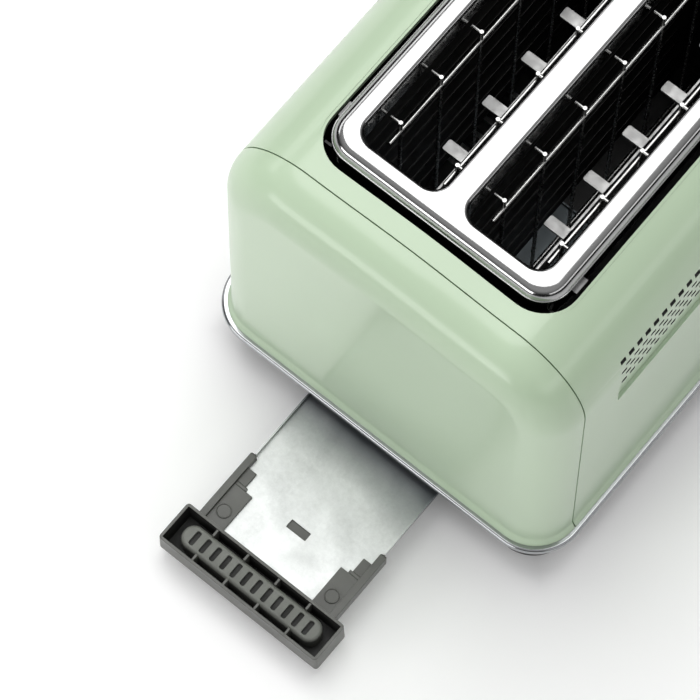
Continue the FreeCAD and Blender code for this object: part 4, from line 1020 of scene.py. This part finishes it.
class TOASTER_OT_tray_handle(bpy.types.Operator):
    """Model the moulded tray handle with its ribs, arms, stepped pads and tongue"""

    bl_idname = "toaster.tray_handle"
    bl_label = "Tray handle"

    def execute(self, context):
        """Hollow the handle and add everything that is moulded on it."""
        bottom, top, half = HANDLE_LOW.z, HANDLE_HIGH.z, HANDLE_HIGH.x
        floor = bottom + HANDLE_FLOOR
        piece = rounded_block("tray_handle_shell", (-half, HANDLE_FRONT, bottom),
                              (half, HANDLE_HIGH.y, top), HANDLE_CORNER, 4)
        pick(piece, "FACE", lambda f: lies(f, z=top))
        inset(HANDLE_WALL)
        extrude(z=floor - top)
        bpy.ops.transform.resize(value=(0.985, 0.94, 1.0))
        pick(piece, "VERT", lambda v: lies(v, z=bottom))
        bpy.ops.transform.resize(value=(1.012, 1.0, 1.0))
        # The inner walls and floor of the handle take a near-black finish: painted shade in the hollow.
        paint(piece, "handle", "painted_shade_pocket")
        piece.active_material_index = 1
        pick(piece, "FACE", lambda f: lies(f, z=(floor - 0.1, top + 0.1), x=(1.3 - half, half - 1.25),
             y=(HANDLE_FRONT + 1.25, HANDLE_HIGH.y - 1.25)))
        bpy.ops.object.material_slot_assign()
        soften(piece, 0.35, 2, 50.0)
        parts = []
        grip_half = (GRIP_HIGH.y - GRIP_LOW.y) / 2 - 0.3
        middle = (HANDLE_FRONT + HANDLE_HIGH.y) / 2
        spans = ((HANDLE_FRONT + 0.4, middle - grip_half), (middle + grip_half, HANDLE_HIGH.y - 0.4))
        for i in range(4):
            x = (i - 1.5) * RIB_PITCH
            for y0, y1 in spans:
                rib = start_block("rib", (x - RIB_HALF, y0, floor - 0.3), (x + RIB_HALF, y1, top - 0.5))
                parts.append(rib)
        pad_bottom = SHEET_LOW.z + SHEET_THICK + 0.02
        pad_top = pad_bottom + PAD_RISE
        for side in (-1, 1):
            arm = side_block("arm", side, (ARM_INNER, ARM_OUTER),
                             (HANDLE_FRONT - ARM_REACH, HANDLE_FRONT + 0.6), (ARM_BOTTOM, ARM_TOP))
            round_edges(arm, lambda e: lies(e, y=HANDLE_FRONT - ARM_REACH), 0.8, 3)
            parts.append(arm)
            previous = -0.6
            for inner, reach in PAD_STEPS:
                pad = side_block("pad", side, (inner, ARM_INNER + 0.1),
                                 (HANDLE_FRONT - reach, HANDLE_FRONT - previous), (pad_bottom, pad_top))
                previous = reach
                parts.append(pad)
            boss = start_round("boss", BOSS_RADIUS,
                               (side * BOSS_X, HANDLE_FRONT - BOSS_REACH, pad_bottom + 0.3), BOSS_RISE,
                               "Z", 32)
            pick(boss, "FACE", lambda f: lies(f, z=pad_bottom + 0.3 + BOSS_RISE))
            inset(0.45)
            extrude(z=-0.35)
            parts.append(boss)
        tongue = start_block("tongue", (-TONGUE_HALF, HANDLE_FRONT - TONGUE_REACH, ARM_BOTTOM),
                             (TONGUE_HALF, HANDLE_FRONT + 0.6, SHEET_LOW.z - 0.3))
        parts.append(tongue)
        for part in parts:
            soften(part, 0.22, 2, 50.0)
            paint(part, "handle")
        add_to(piece, parts)
        finish_piece(piece, "", "crumb_tray", ["tray_handle"])
        return {"FINISHED"}


class TOASTER_OT_tray_grip(bpy.types.Operator):
    """Model the racetrack grip with its row of short slots"""

    bl_idname = "toaster.tray_grip"
    bl_label = "Tray grip"

    def execute(self, context):
        """Round the bar, dome its top and sink the slots."""
        low, high = GRIP_LOW, GRIP_HIGH
        half = (high.y - low.y) / 2
        middle = (high.y + low.y) / 2
        piece = rounded_block("ribbed_grip", low, high, half - 0.2, 10)
        round_edges(piece, lambda e: lies(e, z=high.z) and e.calc_face_angle(0.0) > 1.0, 1.5, 5)
        tidy_mesh()
        slot_x = -(GRIP_SLOTS - 1) / 2 * GRIP_PITCH
        floor_z = high.z - GRIP_SLOT_DEPTH
        cutter = rounded_block("grip_slot", (slot_x - GRIP_SLOT_HALF, middle - GRIP_SLOT_REACH, floor_z),
                               (slot_x + GRIP_SLOT_HALF, middle + GRIP_SLOT_REACH, high.z + 2.0), 0.8, 4)
        apply_modifier(cutter, "ARRAY", count=GRIP_SLOTS, use_relative_offset=False,
                       use_constant_offset=True, constant_offset_displace=(GRIP_PITCH * MM, 0.0, 0.0))
        subtract(piece, cutter)
        soften(piece, 0.28, 2, 60.0)
        # The floors of the slots take a near-black finish: painted shade in the slots.
        paint(piece, "grip", "painted_shade_pocket")
        edit(piece)
        piece.active_material_index = 1
        pick(piece, "FACE", lambda f: lies(f, z=(floor_z - 0.1, floor_z + 0.4), x=(-32.0, 32.0)))
        bpy.ops.object.material_slot_assign()
        finish_piece(piece, "", "crumb_tray", ["tray_grip"])
        return {"FINISHED"}


# ---------------------------------------------------------------- bread carriage
FINGER_COUNT, FINGER_PITCH, FINGER_FIRST, FINGER_HALF = 5, 24.0, 36.4, 2.6
WEB_HEIGHT, LIFTER_SHEET = 12.2, 1.2
SPRING_WIRE, SPRING_TURNS, CARRIAGE_TRAVEL = 0.6, 12, 68.0


class TOASTER_OT_lifters(bpy.types.Operator):
    """Model the two lifters: an upright web with bent fingers for the bread"""

    bl_idname = "toaster.lifters"
    bl_label = "Bread lifters"

    def execute(self, context):
        """Build one lifter for each slot."""
        for side, node in ((-1, "left_bread_lifter"), (1, "right_bread_lifter")):
            low, high = frame_box(node)
            sheet = LIFTER_SHEET
            web = start_block(node.replace("bread_", "slot_"), (low.x, low.y, high.z - WEB_HEIGHT),
                              (low.x + sheet, high.y, high.z - sheet))
            fingers = []
            for i in range(FINGER_COUNT):
                y = SLOT_REAR - FINGER_FIRST - FINGER_PITCH * i
                finger = start_block("finger", (low.x, y - FINGER_HALF, high.z - 2 * sheet),
                                     (high.x, y + FINGER_HALF, high.z))
                cut_plane((low.x + sheet, 0, 0), (1, 0, 0))
                pick(finger, "FACE", lambda f: lies(f, z=high.z - 2 * sheet)
                     and lies(f, x=(low.x + sheet - 0.1, high.x + 0.1)))
                move(z=sheet)
                round_edges(finger, lambda e: runs(e, "z") and lies(e, x=high.x), 0.9, 3)
                soften(finger, 0.25, 2, 50.0)
                fingers.append(finger)
            soften(web, 0.2, 1, 50.0)
            add_to(web, fingers)
            finish_piece(web, "carriage", "bread_carriage", [node])
        return {"FINISHED"}


class TOASTER_OT_lift_spring(bpy.types.Operator):
    """Model the coil spring that lifts the carriage and shortens as it goes down"""

    bl_idname = "toaster.lift_spring"
    bl_label = "Lift spring"

    def execute(self, context):
        """Sweep the wire round the guide rod."""
        low, high = frame_box("carriage_spring")
        centre = (low + high) / 2
        reach = (high.x - low.x) / 2 - SPRING_WIRE
        height = high.z - low.z - 2 * SPRING_WIRE
        to_object_mode()
        bpy.ops.mesh.primitive_circle_add(vertices=8, radius=SPRING_WIRE * MM,
                                          location=(reach * MM, 0.0, 0.0),
                                          rotation=(math.pi / 2, 0.0, 0.0))
        piece = context.object
        piece.name = "lift_spring"
        bake_place(piece)
        apply_modifier(piece, "SCREW", axis="Z", screw_offset=height / SPRING_TURNS * MM,
                       iterations=SPRING_TURNS, steps=20, render_steps=20, use_merge_vertices=True)
        bpy.ops.object.mode_set(mode="EDIT")
        pick(piece, "EDGE", lambda e: e.is_boundary)
        bpy.ops.mesh.fill()
        bpy.ops.mesh.select_all(action="SELECT")
        move(centre.x, centre.y, low.z + SPRING_WIRE)
        tidy_mesh()
        finish_piece(piece, "spring", "chassis", ["carriage_spring"], angle=60.0)
        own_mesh(piece)
        return {"FINISHED"}


# ---------------------------------------------------------------- front controls
KNOB_CORNER, KNOB_ROUND, SCOOP_RADIUS, SCOOP_RISE = 4.0, 2.6, 30.0, 28.7
DIAL_BODY, DIAL_DISH, FLUTES, FLUTE_RADIUS = 9.0, 2.0, 36, 0.55
BAR_HALF, BAR_REACH = 2.7, 12.1
BUTTON_RADIUS, FLANGE_RADIUS, STEM_RADIUS = 5.2, 6.5, 2.0
BUTTON_DISH = ((0.8, 0.10), (1.0, 0.16), (1.2, 0.10))         # inset and depth


def ring_piece(name, centre, inner, outer, front, back):
    """Round band standing on the front cap, its edges rounded."""
    ring = start_round(name, outer, (centre.x, front, centre.z), back - front, "Y", 64)
    hole = start_round("ring_cutter", inner, (centre.x, front - 2.0, centre.z), back - front + 4.0, "Y", 64)
    subtract(ring, hole)
    soften(ring, 0.4, 3, 50.0)
    return ring


class TOASTER_OT_lever(bpy.types.Operator):
    """Model the lever paddle with its finger scoop, and the trim round its slot"""

    bl_idname = "toaster.lever"
    bl_label = "Lever"

    def execute(self, context):
        """Round the paddle, scoop its top and frame the slot."""
        low, high = frame_box("lever_knob")
        piece = start_block("lever_paddle", low, high)
        round_edges(piece, lambda e: runs(e, "y"), KNOB_CORNER, 6)
        round_edges(piece, lambda e: lies(e, y=low.y), KNOB_ROUND, 5)
        tidy_mesh()
        scoop = start_round("scoop", SCOOP_RADIUS,
                            (low.x - 2.0, (low.y + high.y) / 2 - 2.0, high.z + SCOOP_RISE),
                            high.x - low.x + 4.0, "X", 96)
        subtract(piece, scoop)
        soften(piece, 0.5, 3, 35.0)
        finish_piece(piece, "control", "bread_carriage", ["lever_knob"])
        low, high = frame_box("lever_slot_trim")
        trim = start_block("slot_surround", low, high)
        round_edges(trim, lambda e: runs(e, "y"), 2.0, 6)
        cutter = start_block("surround_cutter", (low.x + TRIM_BAND, low.y - 3.0, low.z + TRIM_BAND_LOW),
                             (high.x - TRIM_BAND, high.y + 3.0, high.z - TRIM_BAND))
        subtract(trim, cutter)
        soften(trim, 0.25, 2, 50.0)
        finish_piece(trim, "chrome", "chassis", ["lever_slot_trim"])
        return {"FINISHED"}


class TOASTER_OT_dial(bpy.types.Operator):
    """Model the browning dial with its flutes and grip bar, and the ring round it"""

    bl_idname = "toaster.dial"
    bl_label = "Browning dial"

    def execute(self, context):
        """Flute the rim, stand the bar on the face and ring the dial."""
        low, high = frame_box("browning_knob")
        centre = (low + high) / 2
        radius = (high.x - low.x) / 2
        face = high.y - DIAL_BODY
        piece = start_round("dial_knob", radius, (centre.x, face, centre.z), high.y - face, "Y", 96)
        round_edges(piece, lambda e: lies(e, y=face), 1.2, 4)
        pick(piece, "FACE", lambda f: lies(f, y=face))
        inset(DIAL_DISH)
        extrude(y=0.5)
        flute = start_round("flute", FLUTE_RADIUS, (centre.x + radius + 0.2, face + 1.6, centre.z),
                            high.y - face + 2.0, "Y", 12)
        to_object_mode()
        flutes = []
        for i in range(FLUTES):
            twin = copy_piece(flute, "flute_copy")
            angle = math.radians((i + 0.5) * 360.0 / FLUTES)
            for vert in twin.data.vertices:
                dx, dz = vert.co.x - centre.x * MM, vert.co.z - centre.z * MM
                vert.co.x = centre.x * MM + dx * math.cos(angle) - dz * math.sin(angle)
                vert.co.z = centre.z * MM + dx * math.sin(angle) + dz * math.cos(angle)
            flutes.append(twin)
        add_to(flute, flutes)
        subtract(piece, flute)
        soften(piece, 0.15, 1, 50.0)
        bar = start_block("grip_bar", (centre.x - BAR_HALF, low.y, centre.z - BAR_REACH),
                          (centre.x + BAR_HALF, face + 1.5, centre.z + BAR_REACH))
        round_edges(bar, lambda e: runs(e, "y"), 1.6, 5)
        soften(bar, 0.7, 3, 50.0)
        paint(piece, "control")
        paint(bar, "control")
        mark = start_block("dial_mark", (centre.x - 0.45, low.y, centre.z + 4.5),
                           (centre.x + 0.45, low.y + 0.6, centre.z + 11.0))
        soften(mark, 0.12, 1, 50.0)
        paint(mark, "steel")
        add_to(piece, [bar, mark])
        finish_piece(piece, "", "browning_dial", ["browning_knob"])
        low, high = frame_box("knob_bezel")
        ring = ring_piece("dial_ring", (low + high) / 2, radius + 0.7, (high.x - low.x) / 2, low.y, high.y)
        finish_piece(ring, "chrome", "chassis", ["knob_bezel"])
        return {"FINISHED"}


class TOASTER_OT_buttons(bpy.types.Operator):
    """Model the three push buttons and the bright rings round them"""

    bl_idname = "toaster.buttons"
    bl_label = "Push buttons"

    def execute(self, context):
        """Make each button with its flange and stem, and one ring for each."""
        rings = []
        ring_low, ring_high = frame_box("button_bezels")
        for node in BUTTONS:
            low, high = frame_box(node)
            centre = (low + high) / 2
            flange_y = -CAP_Y + 1.6
            piece = start_round(node.replace("_button", "_key"), BUTTON_RADIUS, (centre.x, low.y, centre.z),
                                flange_y - low.y + 0.4, "Y", 64)
            round_edges(piece, lambda e: lies(e, y=low.y), 0.7, 4)
            pick(piece, "FACE", lambda f: lies(f, y=low.y))
            for width, depth in BUTTON_DISH:
                inset(width)
                move(y=depth)
            flange = start_round("flange", FLANGE_RADIUS, (centre.x, flange_y, centre.z), 1.3, "Y", 48)
            soften(flange, 0.15, 1, 50.0)
            stem = start_round("stem", STEM_RADIUS, (centre.x, flange_y + 1.0, centre.z),
                               high.y - flange_y - 1.0, "Y", 32)
            soften(stem, 0.3, 2, 50.0)
            add_to(piece, [flange, stem])
            finish_piece(piece, "control", node, [node])
            rings.append(ring_piece("button_rings", centre, 5.5, 6.9, ring_low.y, ring_high.y))
        add_to(rings[0], rings[1:])
        finish_piece(rings[0], "chrome", "chassis", ["button_bezels"])
        return {"FINISHED"}


# ---------------------------------------------------------------- finishes on frame nodes that stay
KEPT_NODES = tuple((node, finish) for finish, nodes in (
    ("chassis", "front_chassis_plate rear_chassis_plate"),
    ("mica", "heater_board_left heater_board_centre heater_board_right"),
    ("ribbon", "heating_ribbons_left heating_ribbons_centre heating_ribbons_right"),
    ("reflector", "left_heat_shield right_heat_shield"),
    ("spring", "carriage_guide_rod"),
    ("magnet", "latch_magnet"),
    ("board", "control_board"),
    ("switch", "push_switches browning_potentiometer"),
    ("carriage", "carriage_bracket lever_arm"),
    ("brass", "carriage_bushing"),
    ("magnet", "armature_plate"),
    ("wire", "left_outer_guard left_inner_guard right_outer_guard right_inner_guard"),
    ("screw", "knob_shaft"),
) for node in nodes.split())


class TOASTER_OT_inside(bpy.types.Operator):
    """Finish the chassis, the heaters and the other inner pieces"""

    bl_idname = "toaster.inside"
    bl_label = "Inside"

    def execute(self, context):
        """Give every frame node that stays its finish."""
        for node, finish in KEPT_NODES:
            dress(node, finish)
        return {"FINISHED"}


# ---------------------------------------------------------------- panel and registration
class TOASTER_PT_build(bpy.types.Panel):
    """Lists the operators that build the toaster"""

    bl_idname = "TOASTER_PT_build"
    bl_label = "Toaster"
    bl_space_type = "VIEW_3D"
    bl_region_type = "UI"
    bl_category = "Toaster"

    def draw(self, context):
        """Draw the settings and one button for each operator."""
        layout = self.layout
        for group in (context.scene.toaster_sizes, context.scene.toaster_colours,
                      context.scene.toaster_stage):
            for key in group.__annotations__:
                layout.prop(group, key)
        for operator in OPERATORS:
            layout.operator(operator.bl_idname)


GROUPS = (ToasterSizes, ToasterColours, ToasterStage)
OPERATORS = (TOASTER_OT_stage, TOASTER_OT_shell, TOASTER_OT_caps, TOASTER_OT_top_plate, TOASTER_OT_base,
             TOASTER_OT_tray_sheet, TOASTER_OT_tray_handle, TOASTER_OT_tray_grip, TOASTER_OT_lifters,
             TOASTER_OT_lift_spring, TOASTER_OT_lever, TOASTER_OT_dial, TOASTER_OT_buttons, TOASTER_OT_inside)


def register():
    """Register the classes and hang the settings on the scene."""
    for cls in GROUPS + OPERATORS + (TOASTER_PT_build,):
        bpy.utils.register_class(cls)
    bpy.types.Scene.toaster_sizes = PointerProperty(type=ToasterSizes)
    bpy.types.Scene.toaster_colours = PointerProperty(type=ToasterColours)
    bpy.types.Scene.toaster_stage = PointerProperty(type=ToasterStage)


def unregister():
    """Take the settings and the classes away again."""
    del bpy.types.Scene.toaster_stage
    del bpy.types.Scene.toaster_colours
    del bpy.types.Scene.toaster_sizes
    for cls in reversed(GROUPS + OPERATORS + (TOASTER_PT_build,)):
        bpy.utils.unregister_class(cls)


def main():
    """Build the stage and every piece."""
    register()
    bpy.ops.toaster.stage()
    bpy.ops.toaster.shell()
    bpy.ops.toaster.caps()
    bpy.ops.toaster.top_plate()
    bpy.ops.toaster.base()
    bpy.ops.toaster.tray_sheet()
    bpy.ops.toaster.tray_handle()
    bpy.ops.toaster.tray_grip()
    bpy.ops.toaster.lifters()
    bpy.ops.toaster.lift_spring()
    bpy.ops.toaster.lever()
    bpy.ops.toaster.dial()
    bpy.ops.toaster.buttons()
    bpy.ops.toaster.inside()
    to_object_mode()


if __name__ == "__main__":
    main()
